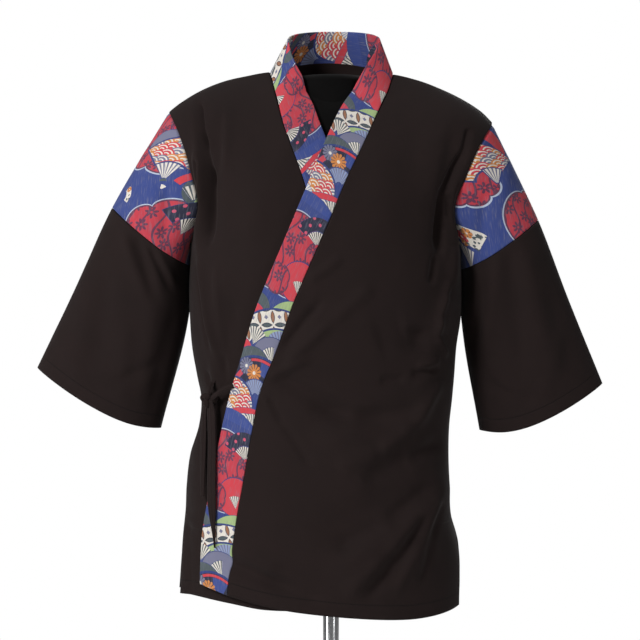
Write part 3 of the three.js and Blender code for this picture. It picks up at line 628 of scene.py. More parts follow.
# The under front, the wearer's right.
# It is cut from the same twill as the over front and lies below it; only its armhole side shows.
# The tie gathers it at the waist, so its creases run up and down from the knot.
UNDER_LAP = 7.4
UNDER_BAND = {
    "z": (1255, 1218, 1175, 1150, 1087, 940, 800, 660, 520),
    "seam": (-86, -77, -66, -57, -36, 5, 38, 65, 88),
    "free": (-58, -32, -16, -6.5, 12.6, 54, 86, 111, 131),
}
UNDER_CREASES = [
    Crease(-178, 1150, -178, 1000, 9, 7),
    Crease(-160, 1165, -160, 1015, 11, -4),
    Crease(-176, 1010, -159, 850, 10, 5),
    Crease(-150, 980, -152, 815, 12, 3),
    Crease(-143, 890, -146, 790, 9, -4),
    Crease(-175, 780, -192, 560, 10, 4),
    # The deep fold along the armhole.
    Crease(-184, 1206, -176, 1140, 5, -8),
    Crease(-177, 1160, -165, 1092, 4.6, -9),
    Crease(-166, 1106, -167, 1008, 4.8, -8.5),
    Crease(-181, 1125, -179, 1088, 3, -4.5),
    Crease(-173, 1128, -172, 1036, 3.5, 3.4),
    Crease(-140, 1200, -146, 1100, 8, 1.4),
    Crease(-151, 1190, -154, 1100, 6, -1.2),
    Crease(-110, 1130, -100, 1010, 20, 1.4),
    Crease(-128, 1020, -120, 930, 16, -1.4),
    # The folds that fan down from the armhole into the knot.
    Crease(-176, 990, -156, 860, 4.5, 4.2),
    Crease(-181, 975, -163, 864, 4, -4.6),
    Crease(-156, 990, -145, 852, 5, 2.2),
    Crease(-134, 930, -127, 862, 6, -2.0),
    Crease(-161, 852, -160, 814, 6, 3.0),
    Crease(-150, 858, -144, 812, 4.2, -6.0),
    Crease(-143, 862, -138, 826, 3.4, 2.0),
    Crease(-171, 836, -168, 812, 3, -3.6),
    # Below the knot, and the line of stitches that closes the top of the vent.
    Crease(-156, 796, -149, 748, 5, -5.0),
    Crease(-144, 792, -136, 760, 4, 1.6),
    Crease(-184, 774, -190, 700, 8, 2.5),
    Crease(-176, 742, -178, 660, 6, -2.0),
    Crease(-195, 704, -196, 642, 8, 2.2),
    Crease(-206, 634, -166, 627, 5, 4.0),
    Crease(-206, 619, -166, 612, 5, -4.6),
]


def under_lift(x, z):
    """How far the under front is from the torso: its own creases, or laid below the over front's."""
    edge = read(OVER_BAND, "z", z, "free")
    own = FOLD_DEPTH * crease_height(UNDER_CREASES, x, z) + limpness(x, z, 8.5)
    return lerp(own, over_lift(x, z) - UNDER_LAP, ease(edge - 60, edge - 3, x))


@functools.lru_cache(maxsize=None)
def under_level(drop):
    """A level of the under front, with the turns at its outer edge and at its band seam."""
    level = Level(drop, "under", False)
    end = 0
    for _ in range(14):
        end = read(UNDER_BAND, "z", height_at(end, drop, "under", False), "seam")
    start = level.end["right"][0] + SEAM_GAP + vent_shift(drop)
    return level, level.turn(start), level.turn(end - SEAM_GAP)


def under_front_at(across, drop):
    """A point of the under front: across is 0 at the side and 1 at the band."""
    level, start, end = under_level(drop)
    p = level.point(lerp(start, end, across))
    p = pushed(p, under_lift(p.x, p.z) * ease(0, 0.11, across))
    p.y = min(p.y, -SEAM_GAP / 2)
    return p


under_front = cloth(
    "under_front", 124, 200, lambda across, down: under_front_at(across**1.25, drop_of(down)),
    body_cut(0.27), black_twill, TWILL, HEM_TWILL, body_hem,
)
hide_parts("front_under")

# The back.
# One panel of the same twill from side seam to side seam, joined to the fronts along the shoulders.
# It hangs straight from the shoulder blades, and the tie draws a few creases across its waist.
BACK_CREASES = [
    Crease(-160, 1140, -150, 900, 18, 6),
    Crease(-130, 1060, -140, 830, 18, -5),
    Crease(150, 1130, 138, 900, 18, 6),
    Crease(-150, 800, 10, 760, 24, 5),
    Crease(-150, 780, -60, 620, 24, 5),
    Crease(60, 800, 85, 550, 26, 6),
    Crease(-110, 720, -120, 545, 24, 5),
    # The finer ones.
    Crease(-172, 1100, -168, 980, 6, -3.7),
    Crease(-182, 930, -160, 830, 6, 3.4),
    Crease(-176, 900, -150, 822, 5, -3.7),
    Crease(-150, 890, -132, 820, 7, -2.7),
    Crease(-165, 812, -90, 792, 7, -3.4),
    Crease(-160, 800, -40, 748, 8, 2.5),
    Crease(-165, 790, -110, 720, 7, -3.4),
    Crease(-110, 720, -70, 640, 10, -2.5),
    Crease(165, 1110, 160, 990, 6, -3.7),
    Crease(160, 960, 120, 860, 9, 2.7),
    Crease(150, 900, 60, 840, 12, -2.2),
    Crease(110, 1100, 96, 960, 16, -2.0),
    Crease(20, 900, 50, 800, 16, -2.0),
    Crease(100, 780, 116, 620, 12, -3.1),
    Crease(40, 720, 30, 570, 14, -2.5),
    Crease(150, 740, 158, 600, 9, 2.4),
    Crease(-40, 700, -30, 560, 16, -2.4),
    Crease(-60, 1180, 60, 1176, 14, 1.5),
]


@functools.lru_cache(maxsize=None)
def back_level(drop):
    level = Level(drop, "back", True)
    flare = 1.5 * ease(VENT_TOP_DROP, HEM_DROP, drop)
    return level, {side: level.end[side][0] - math.copysign(SEAM_GAP - flare, level.end[side][0])
                   for side in ("right", "left")}


def back_at(across, drop):
    """A point of the back: across is 0 at the wearer's left side and 1 at the right."""
    level, ends = back_level(drop)
    share = 1 - 2 * across
    end = ends["left" if share > 0 else "right"]
    even = level.turn(end * abs(share))
    p = level.point(lerp(even, level.turn(end) * abs(share), ease(0, 260, drop)))
    lift = crease_height(BACK_CREASES, p.x, p.z) + limpness(p.x, p.z, 14.5) * ease(20, 90, drop)
    p = pushed(p, lift * ease(0, 0.13, min(across, 1 - across)))
    p.y = max(p.y, SEAM_GAP / 2)
    return p


back = cloth(
    "back_panel", 128, 170, lambda across, down: back_at(across, drop_of(down)),
    body_cut(0.58), black_twill, TWILL, HEM_TWILL, body_hem,
)
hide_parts("back")

# The collar band.
# One strip of printed cotton, folded double, sewn up one front, round the neck and down the other.
# Its fold is the free edge. It stands up round the back of the neck and lies flat on both fronts.
BAND_WALL = 2.6
BAND_PROUD = 1.1
BAND_WIDE = 0.0475
FLAT_BAND_Y = -46
NECK_GAP = 1
NECK_ROWS = 9
NECK_STEPS = 6
DOWN_ROWS = 130
# Where the free edge stands behind the neck and beside it, for each place along the neck seam.
NECK_BACK = [
    (0, (0, 58, 1319.5)), (25, (18, 55.5, 1319)), (48, (34, 48, 1317)),
    (66, (47, 38, 1314)), (79, (57, 22, 1309)),
]
NECK_FRONT = [
    (1251, (63.5, 1, 1300)), (1238, (58.5, -12, 1281)), (1223, (50, -23, 1263)), (1207, (40, -31, 1244)),
]


def band_rows(over):
    """The band's rows on one side, from the middle of the neck down to the hem.
    Each goes from the seam to the free edge."""
    sign = 1 if over else -1
    table, hem = (OVER_BAND, "over") if over else (UNDER_BAND, "under")
    across = [i / 12 for i in range(13)]

    def upright(seam, free):
        end = Vector((free[0] * sign + 4 * ease(1250, 1300, free[2]), free[1], free[2]))
        return [seam.lerp(end, t) for t in across]

    rows = []
    for seam_x, free in NECK_BACK:
        z = height_at(sign * seam_x, 0, "back", True) + NECK_GAP
        rows.append(upright(Vector((seam_x * sign, neck_push(seam_x, 0), z)), free))
    for seam_z, free in NECK_FRONT:
        seam = front_at(read(table, "z", seam_z, "seam") - sign * NECK_GAP, seam_z, hem)
        rows.append(upright(seam + Vector((0, 0, NECK_GAP)), free))
    low_seam = read(HEM[hem], "x", table["seam"][-1], "z")
    low_free = read(HEM[hem], "x", table["free"][-1], "z")
    for i in range(DOWN_ROWS + 1):
        t = i / DOWN_ROWS
        seam_z, free_z = lerp(1190, low_seam, t), lerp(1222, low_free, t)
        seam_x = read(table, "z", seam_z, "seam") - sign * lerp(NECK_GAP, SEAM_GAP / 2, ease(0, 0.08, t))
        free_x = read(table, "z", free_z, "free")
        rows.append([front_at(lerp(seam_x, free_x, s), lerp(seam_z, free_z, s), hem) for s in across])
    lift = over_lift if over else under_lift
    return [[p if p.y > FLAT_BAND_Y else pushed(p, lift(p.x, p.z)) for p in row] for row in rows]


def curve_point(points, at):
    """A place on a smooth curve through points, counted from 0 at the first to 1 at the last."""
    last = len(points) - 1
    i = min(int(at * last), last - 1)
    t = at * last - i
    b, c = points[i], points[i + 1]
    a = points[i - 1] if i > 0 else 2 * b - c
    d = points[i + 2] if i < last - 1 else 2 * c - b
    ab, bc, cd = (max((q - p).length, 1e-6) ** 0.5 for p, q in ((a, b), (b, c), (c, d)))
    leave = ((b - a) / ab - (c - a) / (ab + bc) + (c - b) / bc) * bc
    reach = ((c - b) / bc - (d - b) / (bc + cd) + (d - c) / cd) * bc
    return b + leave * t + (3 * (c - b) - 2 * leave - reach) * t**2 + (2 * (b - c) + leave + reach) * t**3


def smoothed_band():
    """All the band's rows in order, from the under front's hem to the over front's.
    There are more rows round the neck."""
    under, over = band_rows(False)[1:][::-1], band_rows(True)
    rows = under + over
    middle = len(under)
    last = len(rows) - 1
    places = []
    for k in range(len(rows)):
        extra = NECK_STEPS if abs(k - middle + 0.5) < NECK_ROWS and k < last else 1
        places += [k + i / extra for i in range(extra)]
    lines = [[row[j] for row in rows] for j in range(13)]
    return [[curve_point(line, k / last) for line in lines] for k in places], places.index(middle)


def stood_off(rows, distance):
    """Rows of points moved out along their own normals.
    Rows go down, and points go from the seam to the free edge."""
    moved = []
    for i, row in enumerate(rows):
        above, below = rows[max(i - 1, 0)], rows[min(i + 1, len(rows) - 1)]
        line = []
        for j, p in enumerate(row):
            across = row[max(j - 1, 0)] - row[min(j + 1, len(row) - 1)]
            line.append(p + (below[j] - above[j]).cross(across).normalized() * distance)
        moved.append(line)
    return moved


band_lines, neck_row = smoothed_band()
band_lines = stood_off(band_lines, BAND_PROUD)
# How far along the strip each row is, in metres, measured down its middle from the over front's hem.
band_middle = [row[6] for row in band_lines]
band_reach = [0.0]
for this_row, next_row in zip(band_middle[::-1], band_middle[-2::-1]):
    band_reach.append(band_reach[-1] + (next_row - this_row).length * MM)
band_reach.reverse()


def band_at(across, down):
    """A point of the band: across is 0 at the free edge and 1 at the seam."""
    row = band_lines[round(down * (len(band_lines) - 1))]
    return row[12 - round(across * 12)]


PRINT_SLIP = 0.053
PRINT_SKEW = (0.012, 0.009)
neck_start = band_reach[neck_row + NECK_ROWS * NECK_STEPS]
neck_end = band_reach[neck_row - NECK_ROWS * NECK_STEPS]


def band_cut(across, down):
    """The place on the printed strip.
    The print is eased round the neck and lies a little askew near the over hem."""
    reach = band_reach[round(down * (len(band_lines) - 1))]
    low = 1 - ease(0, 0.2, reach)
    slip = PRINT_SLIP * clamp(1.8 * (reach - neck_start) / (neck_end - neck_start), 0, 1)
    return across * BAND_WIDE + PRINT_SKEW[0] * low, reach - slip - PRINT_SKEW[1] * low


# The inks of the print.
INK_CODES = {
    "blue": "35488d", "deep": "293a79", "navy": "1f2138", "red": "cf3a44", "cream": "e6dfd4",
    "grey": "75768f", "slate": "4d585a", "orange": "d4863c", "leaf": "a5bd80", "pink": "d0506a",
    "plum": "63304a", "tan": "9c6a48", "pale": "b7c2d6", "crimson": "b32f40", "sky": "8f9ec4",
    "black": "1a1820",
}
INK = {name: linear(code) for name, code in INK_CODES.items()}


def radial(tree, place):
    """The bearing from straight up and the distance from the middle."""
    x, y, _ = axes(tree, place)
    return calc(tree, "ARCTAN2", x, y), vector_calc(tree, "LENGTH", place)


# A part of a ring, upright about its pivot: the leaf of a fan, or a whole disc where it is spread all round.
ring_group, given, made = node_group(
    "printed ring",
    {"Place": "NodeSocketVector", "Inner": "NodeSocketFloat", "Outer": "NodeSocketFloat",
     "Spread": "NodeSocketFloat", "Edge": "NodeSocketFloat"},
    {"Shape": "NodeSocketFloat", "Rim": "NodeSocketFloat", "Stripe": "NodeSocketFloat"},
)
sums = functools.partial(calc, ring_group)
bearing, reach = radial(ring_group, given["Place"])
past_turn = sums("SUBTRACT", sums("ABSOLUTE", bearing), given["Spread"])
past_side = sums("MULTIPLY", past_turn, reach)
past_inner = sums("SUBTRACT", given["Inner"], reach)
past_outer = sums("SUBTRACT", reach, given["Outer"])
past = sums("MAXIMUM", sums("MAXIMUM", past_inner, past_outer), past_side)
ring_group.links.new(sums("LESS_THAN", past, 0.0), made["Shape"])
ring_group.links.new(sums("LESS_THAN", past, given["Edge"]), made["Rim"])
stripe = sums("PINGPONG", sums("MULTIPLY", bearing, 5.2), 0.5)
ring_group.links.new(sums("GREATER_THAN", stripe, 0.21), made["Stripe"])


def pattern_group(name):
    """An empty shader group that gives a colour for a place."""
    return node_group(name, {"Place": "NodeSocketVector"}, {"Color": "NodeSocketColor"})


# Rows of waves, each an arch of rings that the row below it overlaps.
WAVE_R = 10.5
waves_group, given, made = pattern_group("printed waves")
sums = functools.partial(calc, waves_group)
wave_x, wave_y, _ = axes(waves_group, given["Place"])
row_height = WAVE_R / 2
lowest = sums("FLOOR", sums("DIVIDE", wave_y, row_height))
waves = []
for step in (-1.0, 0.0, 1.0):
    row = sums("ADD", lowest, step)
    shift = sums("MULTIPLY", sums("PINGPONG", row, 1.0), WAVE_R)
    across = sums("DIVIDE", sums("SUBTRACT", wave_x, shift), 2 * WAVE_R)
    column = sums("ROUND", across)
    away_x = sums("MULTIPLY", sums("SUBTRACT", across, column), 2 * WAVE_R)
    away_y = sums("SUBTRACT", wave_y, sums("MULTIPLY", row, row_height))
    away = tuple_to_vector(waves_group, away_x, away_y)
    key = sums("ADD", sums("MULTIPLY", row, 0.37), sums("MULTIPLY", column, 0.61))
    waves.append((sums("DIVIDE", vector_calc(waves_group, "LENGTH", away), WAVE_R),
                  sums("FRACT", key)))


def choose(tree, test, when_not, when_so):
    """One of two numbers, by a test that is 0 or 1."""
    change = calc(tree, "MULTIPLY", test, calc(tree, "SUBTRACT", when_so, when_not))
    return calc(tree, "ADD", when_not, change)


in_low = sums("LESS_THAN", waves[0][0], 1.0)
in_middle = sums("LESS_THAN", waves[1][0], 1.0)
ring, key = [
    choose(waves_group, in_low, choose(waves_group, in_middle, waves[2][k], waves[1][k]), waves[0][k])
    for k in (0, 1)
]
arch = colour_mix(waves_group, sums("GREATER_THAN", key, 0.34), INK["orange"], INK["red"])
arch = colour_mix(waves_group, sums("GREATER_THAN", key, 0.68), arch, INK["grey"])
band = sums("LESS_THAN", sums("PINGPONG", sums("ADD", ring, 0.06), 0.2), 0.082)
waves_group.links.new(colour_mix(waves_group, band, arch, INK["cream"]), made["Color"])

# Linked rings: cream squares between dark-edged petals of brown and grey, each with a small grey diamond.
RING_CELL = 20.0
PETAL_REACH, PETAL_FILL = 0.655, 0.612
rings_group, given, made = pattern_group("linked rings")
sums = functools.partial(calc, rings_group)
middle, edge = [], []
for part in axes(rings_group, given["Place"])[:2]:
    share = sums("FRACT", sums("DIVIDE", part, RING_CELL))
    middle.append(sums("ABSOLUTE", sums("SUBTRACT", share, 0.5)))
    edge.append(sums("SUBTRACT", 0.5, middle[-1]))


def petal(tree, along, off, size):
    """A pointed petal between two points of the lattice."""
    reach = vector_calc(tree, "LENGTH", tuple_to_vector(tree, along, calc(tree, "ADD", off, 0.5)))
    return calc(tree, "LESS_THAN", reach, size)


rings = INK["cream"]
for size, upright_ink, level_ink in ((PETAL_REACH, "navy", "navy"), (PETAL_FILL, "slate", "tan")):
    rings = colour_mix(rings_group, petal(rings_group, middle[0], edge[1], size), rings, INK[upright_ink])
    rings = colour_mix(rings_group, petal(rings_group, middle[1], edge[0], size), rings, INK[level_ink])
diamond = sums("LESS_THAN", sums("ADD", middle[0], middle[1]), 0.15)
rings_group.links.new(colour_mix(rings_group, diamond, rings, INK["grey"]), made["Color"])

# A flower seen from above: narrow petals about a pale middle.
flower_group, given, made = node_group(
    "printed flower",
    {"Place": "NodeSocketVector", "Size": "NodeSocketFloat", "Petals": "NodeSocketFloat"},
    {"Shape": "NodeSocketFloat", "Shade": "NodeSocketFloat", "Eye": "NodeSocketFloat"},
)
sums = functools.partial(calc, flower_group)
bearing, reach = radial(flower_group, given["Place"])
reach = sums("DIVIDE", reach, given["Size"])
half_turns = sums("MULTIPLY", bearing, sums("MULTIPLY", given["Petals"], 0.5))
wave = sums("ABSOLUTE", sums("SINE", half_turns))
outline = sums("ADD", 0.8, sums("MULTIPLY", wave, 0.2))
flower_group.links.new(sums("LESS_THAN", reach, outline), made["Shape"])
vein = both(flower_group, sums("LESS_THAN", wave, 0.34), sums("GREATER_THAN", reach, 0.45))
flower_group.links.new(vein, made["Shade"])
flower_group.links.new(sums("LESS_THAN", reach, 0.2), made["Eye"])

# A large lobed patch of red with a pale outline, with plum stems and maple leaves on it.
SPRIG = (19.0, 23.0)
patch_group, given, made = node_group(
    "maple patch",
    {"Place": "NodeSocketVector", "Size": "NodeSocketFloat",
     "Lobes": "NodeSocketFloat", "Edge": "NodeSocketFloat"},
    {"Shape": "NodeSocketFloat", "Rim": "NodeSocketFloat", "Color": "NodeSocketColor"},
)
sums = functools.partial(calc, patch_group)
bearing, reach = radial(patch_group, given["Place"])
half_turns = sums("MULTIPLY", bearing, sums("MULTIPLY", given["Lobes"], 0.5))
lobe = sums("POWER", sums("ABSOLUTE", sums("COSINE", half_turns)), 0.6)
outline = sums("MULTIPLY", given["Size"], sums("ADD", 0.86, sums("MULTIPLY", lobe, 0.14)))
past = sums("SUBTRACT", reach, outline)
patch_group.links.new(sums("LESS_THAN", past, 0.0), made["Shape"])
patch_group.links.new(sums("LESS_THAN", past, given["Edge"]), made["Rim"])
patch_x, patch_y, _ = axes(patch_group, given["Place"])
sway = sums("MULTIPLY", sums("SINE", sums("DIVIDE", patch_y, 10.5)), 6.5)
stem_x = sums("DIVIDE", sums("ADD", patch_x, sway), SPRIG[0])
stem = sums("GREATER_THAN", sums("PINGPONG", stem_x, 0.5), 0.43)
sprig_row = sums("ROUND", sums("DIVIDE", patch_y, SPRIG[1]))
sprig_x = sums("SUBTRACT", patch_x, sums("MULTIPLY", sums("PINGPONG", sprig_row, 1.0), 10.0))
sprig_column = sums("ROUND", sums("DIVIDE", sprig_x, SPRIG[0]))
leaf_key = sums("ADD", sums("MULTIPLY", sprig_column, 2.3), sums("MULTIPLY", sprig_row, 4.1))
stray_x = sums("MULTIPLY", sums("SINE", leaf_key), 3.4)
stray_y = sums("MULTIPLY", sums("COSINE", sums("MULTIPLY", leaf_key, 1.7)), 4.2)
leaf_x = sums("SUBTRACT", sprig_x, sums("MULTIPLY", sprig_column, SPRIG[0]))
leaf_y = sums("SUBTRACT", patch_y, sums("MULTIPLY", sprig_row, SPRIG[1]))
leaf_place = tuple_to_vector(
    patch_group, sums("SUBTRACT", leaf_x, stray_x), sums("SUBTRACT", leaf_y, stray_y),
)
leaf_bearing, leaf_reach = radial(patch_group, leaf_place)
leaf_turn = sums("MULTIPLY", sums("ADD", leaf_bearing, leaf_key), 3.5)
points = sums("POWER", sums("ABSOLUTE", sums("COSINE", leaf_turn)), 0.9)
maple = sums("LESS_THAN", leaf_reach, sums("ADD", 2.0, sums("MULTIPLY", points, 6.2)))
centre = sums("LESS_THAN", leaf_reach, 1.5)
blotches = noise_value(patch_group, given["Place"], 0.06, 2)
ground = colour_mix(patch_group, blotches, INK["crimson"], INK["red"])
inner_edge = sums("GREATER_THAN", past, -2.2)
drawn = sums("MAXIMUM", sums("MAXIMUM", stem, maple), inner_edge)
drawn = sums("MULTIPLY", drawn, sums("SUBTRACT", 1.0, centre))
patch_group.links.new(colour_mix(patch_group, drawn, ground, INK["plum"]), made["Color"])

# Round dots in staggered rows on navy.
DOTS = (15.0, 9.0)
DOT_R = 2.2
dots_group, given, made = pattern_group("printed dots")
sums = functools.partial(calc, dots_group)
dot_x, dot_y, _ = axes(dots_group, given["Place"])
dot_row = sums("ROUND", sums("DIVIDE", dot_y, DOTS[1]))
dot_x = sums("SUBTRACT", dot_x, sums("MULTIPLY", sums("PINGPONG", dot_row, 1.0), DOTS[0] / 2))
dot_column = sums("ROUND", sums("DIVIDE", dot_x, DOTS[0]))
dot = vector_calc(dots_group, "LENGTH", tuple_to_vector(
    dots_group, sums("SUBTRACT", dot_x, sums("MULTIPLY", dot_column, DOTS[0])),
    sums("SUBTRACT", dot_y, sums("MULTIPLY", dot_row, DOTS[1])),
))
in_dot = sums("LESS_THAN", dot, DOT_R)
dots_group.links.new(colour_mix(dots_group, in_dot, INK["navy"], INK["pink"]), made["Color"])

# Scattered grey leaves on cream.
scatter_group, given, made = pattern_group("scattered leaves")
sums = functools.partial(calc, scatter_group)
scattered = sums("GREATER_THAN", noise_value(scatter_group, given["Place"], 0.16, 1), 0.56)
scatter_group.links.new(colour_mix(scatter_group, scattered, INK["cream"], INK["slate"]), made["Color"])

PATTERN = {"waves": waves_group, "rings": rings_group, "dots": dots_group, "leaves": scatter_group}

# A motif's place and sizes are in millimetres and its angles in degrees.
# A leaf is filled with an ink or a pattern.
Motif = namedtuple("Motif", "kind x y turn inner outer spread fill edge")


def lay_motif(tree, place, under, motif):
    """Prints one motif over the colours below it."""
    spin = tree.nodes.new("ShaderNodeVectorRotate")
    spin.rotation_type = "Z_AXIS"
    spin.inputs["Center"].default_value = (motif.x, motif.y, 0)
    spin.inputs["Angle"].default_value = math.radians(motif.turn)
    link(tree, place, spin.inputs["Vector"])
    local = vector_calc(tree, "SUBTRACT", spin.outputs[0], (float(motif.x), float(motif.y), 0.0))
    if motif.kind == "flower":
        flower = use_group(
            tree, flower_group, place=local, size=float(motif.outer), petals=float(motif.spread),
        )
        out = colour_mix(tree, flower["Shape"], under, INK[motif.fill])
        out = colour_mix(tree, both(tree, flower["Shape"], flower["Shade"]), out, INK["navy"])
        return colour_mix(tree, flower["Eye"], out, INK["cream"])
    if motif.kind == "patch":
        patch = use_group(
            tree, patch_group, place=local, size=float(motif.outer), lobes=float(motif.spread),
            edge=float(motif.edge),
        )
        out = colour_mix(tree, patch["Rim"], under, INK["pale"])
        return colour_mix(tree, patch["Shape"], out, patch["Color"])
    ring = use_group(
        tree, ring_group, place=local, inner=float(motif.inner), outer=float(motif.outer),
        spread=math.radians(motif.spread), edge=float(motif.edge),
    )
    if motif.kind == "ribs":
        light, dark = motif.fill.split()
        filled = colour_mix(tree, ring["Stripe"], INK[dark], INK[light])
    elif motif.fill in PATTERN:
        filled = use_group(tree, PATTERN[motif.fill], place=local)["Color"]
    else:
        filled = INK[motif.fill]
    out = colour_mix(tree, ring["Rim"], under, INK["deep"])
    return colour_mix(tree, ring["Shape"], out, filled)


def print_group(name, motifs, repeat=None):
    """The print on one piece: a blue ground with its motifs.
    They repeat along the strip where a repeat is given."""
    tree, given, made = pattern_group(name)
    across, along, _ = axes(tree, vector_calc(tree, "SCALE", given["Place"], scale=1000.0))
    if repeat:
        start, length = repeat
        turns = calc(tree, "FRACT", calc(tree, "DIVIDE", calc(tree, "SUBTRACT", along, start), length))
        along = calc(tree, "MULTIPLY", turns, length)
    place = tuple_to_vector(tree, across, along)
    grain = noise_value(tree, vector_calc(tree, "MULTIPLY", given["Place"], (1500.0, 90.0, 1.0)), 1.0, 2)
    colour = colour_mix(tree, grain, INK["deep"], INK["blue"])
    for motif in motifs:
        colour = lay_motif(tree, place, colour, motif)
    tree.links.new(colour, made["Color"])
    return tree


# The strip's print, the lowest layer first. Each repeat starts in the plain blue and goes up the over front.
BAND_REPEAT = (-86, 310)
BAND_PRINT = [
    Motif("patch", 14, 240, 0, 0, 57, 5, "red", 1.3),
    Motif("leaf", 44, 214, 0, 0, 27, 180, "red", 1.2),
    Motif("patch", 12, 204, 20, 0, 21, 3, "red", 0),
    Motif("ribs", 49, 199, -22, 0, 18, 26, "cream slate", 0),
    Motif("leaf", 47, 269, -32, 20, 37, 46, "dots", 0.4),
    Motif("ribs", 47, 269, -30, 3, 19, 40, "cream black", 0.4),
    Motif("leaf", 62, 148, 0, 0, 43, 180, "leaf", 0.6),
    Motif("leaf", 0, 157, 0, 0, 20, 180, "slate", 0.5),
    Motif("leaf", 0, 145, 0, 0, 17, 180, "red", 0.5),
    Motif("leaf", 60, 94, -28, 56, 79, 60, "rings", 2.6),
    Motif("ribs", 54, 120, -32, 4, 26, 34, "sky grey", 0),
    Motif("ribs", 12.5, 110, 4, 0, 23, 36, "cream slate", 0),
    Motif("leaf", 0, 100, 0, 0, 12, 180, "red", 0.5),
    Motif("leaf", 45, 102, 0, 0, 30, 180, "grey", 1.0),
    Motif("ribs", 50, 98, -42, 3, 23, 26, "cream slate", 0.5),
    Motif("leaf", 22, 79.5, 0, 0, 29, 180, "slate", 0.7),
    Motif("leaf", 42, 47, -24, 24.5, 52, 75, "navy", 3.2),
    Motif("leaf", 42, 47, 6, 30, 47, 16, "blue", 0),
    Motif("leaf", 42, 47, -4, 47.5, 51, 26, "red", 0),
    Motif("leaf", 42, 47, -72, 36, 43, 15, "red", 0.4),
    Motif("flower", 13, 79, 0, 0, 11.5, 13, "grey", 0),
    Motif("flower", 28.5, 75.5, 10, 0, 12, 12, "orange", 0),
    Motif("ribs", 42, 47, -24, 5, 23, 62, "sky grey", 1.2),
    Motif("leaf", 8.8, 24, 0, 0, 33, 180, "waves", 3.0),
    Motif("leaf", 60, -60, -12, 84, 91.5, 34, "red", 0.5),
    Motif("ribs", 50, 2, -22, 6, 22, 34, "cream slate", 0.3),
    Motif("ribs", -4, 6, 30, 6, 18, 30, "cream sky", 0.3),
    Motif("leaf", 18, -44, 0, 0, 60, 180, "blue", 0.6),
]


def printed_finish(name, motifs, repeat=None):
    """Printed plain-weave cotton: the motifs on a blue ground, softened by the weave."""
    finish, tree, shader = cloth_finish(name, 0.1)
    place = tree.nodes.new("ShaderNodeUVMap")
    place.uv_map = "cut"
    pattern = use_group(tree, print_group(name + " print", motifs, repeat), place=place.outputs[0])
    weave = use_group(tree, twill_group, place=place.outputs[0], pitch=0.5)
    streaks = tree.nodes.new("ShaderNodeMapRange")
    streaks.inputs["From Min"].default_value = 0.52
    streaks.inputs["From Max"].default_value = 0.8
    streaks.inputs["To Max"].default_value = 0.6
    streak_place = vector_calc(tree, "MULTIPLY", place.outputs[0], (700.0, 64.0, 1.0))
    link(tree, noise_value(tree, streak_place, 1.0, 3), streaks.inputs["Value"])
    worn = calc(tree, "ADD", calc(tree, "MULTIPLY", weave["Tone"], 0.2), streaks.outputs[0])
    link(tree, colour_mix(tree, worn, pattern["Color"], linear("7a7b88")), shader.inputs["Base Color"])
    shader.inputs["Roughness"].default_value = 0.8
    link(tree, bumped(tree, weave["Height"], 0.0001, 0.45), shader.inputs["Normal"])
    return finish


band_cotton = printed_finish("printed band", BAND_PRINT, BAND_REPEAT)
collar_band = cloth("collar_strip", 12, len(band_lines) - 1, band_at, band_cut, band_cotton, BAND_WALL)
edge = collar_band.modifiers.new("folded edge", "BEVEL")
edge.width = 0.0008
edge.segments = 2
edge.limit_method = "ANGLE"
edge.angle_limit = math.radians(60)
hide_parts("collar_band")

# The neck tape.
# A narrow strip of the same black twill, sewn flat inside the back of the neck.
# It covers the raw edges of the band's seam.
TAPE_HALF = 80
TAPE_FLAT = (0.17, 0.015)
TAPE_TOP = 4
TAPE_FALL = 11
TAPE_WALL = 0.6
TAPE_STAND = 2.2
# The share of the tape that stands above the seam, and the neck's middle from front to back.
TAPE_ABOVE = 0.3
NECK_MIDDLE_Y = 12


def tape_at(across, down):
    """A point of the tape: across is 0 at the wearer's left, and down starts above the seam."""
    x = lerp(TAPE_HALF, -TAPE_HALF, across)
    above = TAPE_TOP * max(0, 1 - down / TAPE_ABOVE)
    level = Level(TAPE_FALL * max(0, down - TAPE_ABOVE) / 0.7, "back", True)
    p = level.point(level.turn(x))
    inward = Vector((-p.x, NECK_MIDDLE_Y - p.y, 0)).normalized()
    return p + inward * (TAPE_STAND + 0.3 * above) + Vector((0, 0, above))


neck_tape = cloth(
    "neck_tape", 72, 10, tape_at, lambda a, d: (a * TAPE_FLAT[0], d * TAPE_FLAT[1]), black_twill, TAPE_WALL,
)

# The upper sleeves.
# A wide band of the same printed cotton, set into each armhole and folded along the top of the arm.
# It is sewn to the black lower sleeve by a plain seam.
SQUARE_SLEEVE = 0.9
SLEEVE_CLEAR = 0.9
REAR_TUCK = 34
SEAM_TUCK = 1.3
# The folds of a sleeve's rear lie this far across from those of its front, with an unevenness of their own.
REAR_SHIFT = 12
SLEEVE_LIMPNESS = 0.8
FRONT_SEED, REAR_SEED = 21.5, 27.5
SLEEVE_COLUMNS = 108
Section = namedtuple("Section", "out_x out_z in_x in_z front back low y")
SLEEVES = {
    "right": [
        Section(-305.5, 1064, -199.5, 984, 64, 62, 6, 2),
        Section(-353.5, 960, -199.5, 912, 58, 54, 10, 4),
        Section(-411, 841, -238, 756, 50, 46, 14, 6),
    ],
    "left": [
        Section(289, 1047, 184, 978, 64, 62, 6, 2),
        Section(330.5, 940, 183.5, 900, 58, 54, 10, 4),
        Section(380, 819, 208, 753, 50, 46, 17.5, 6),
    ],
}
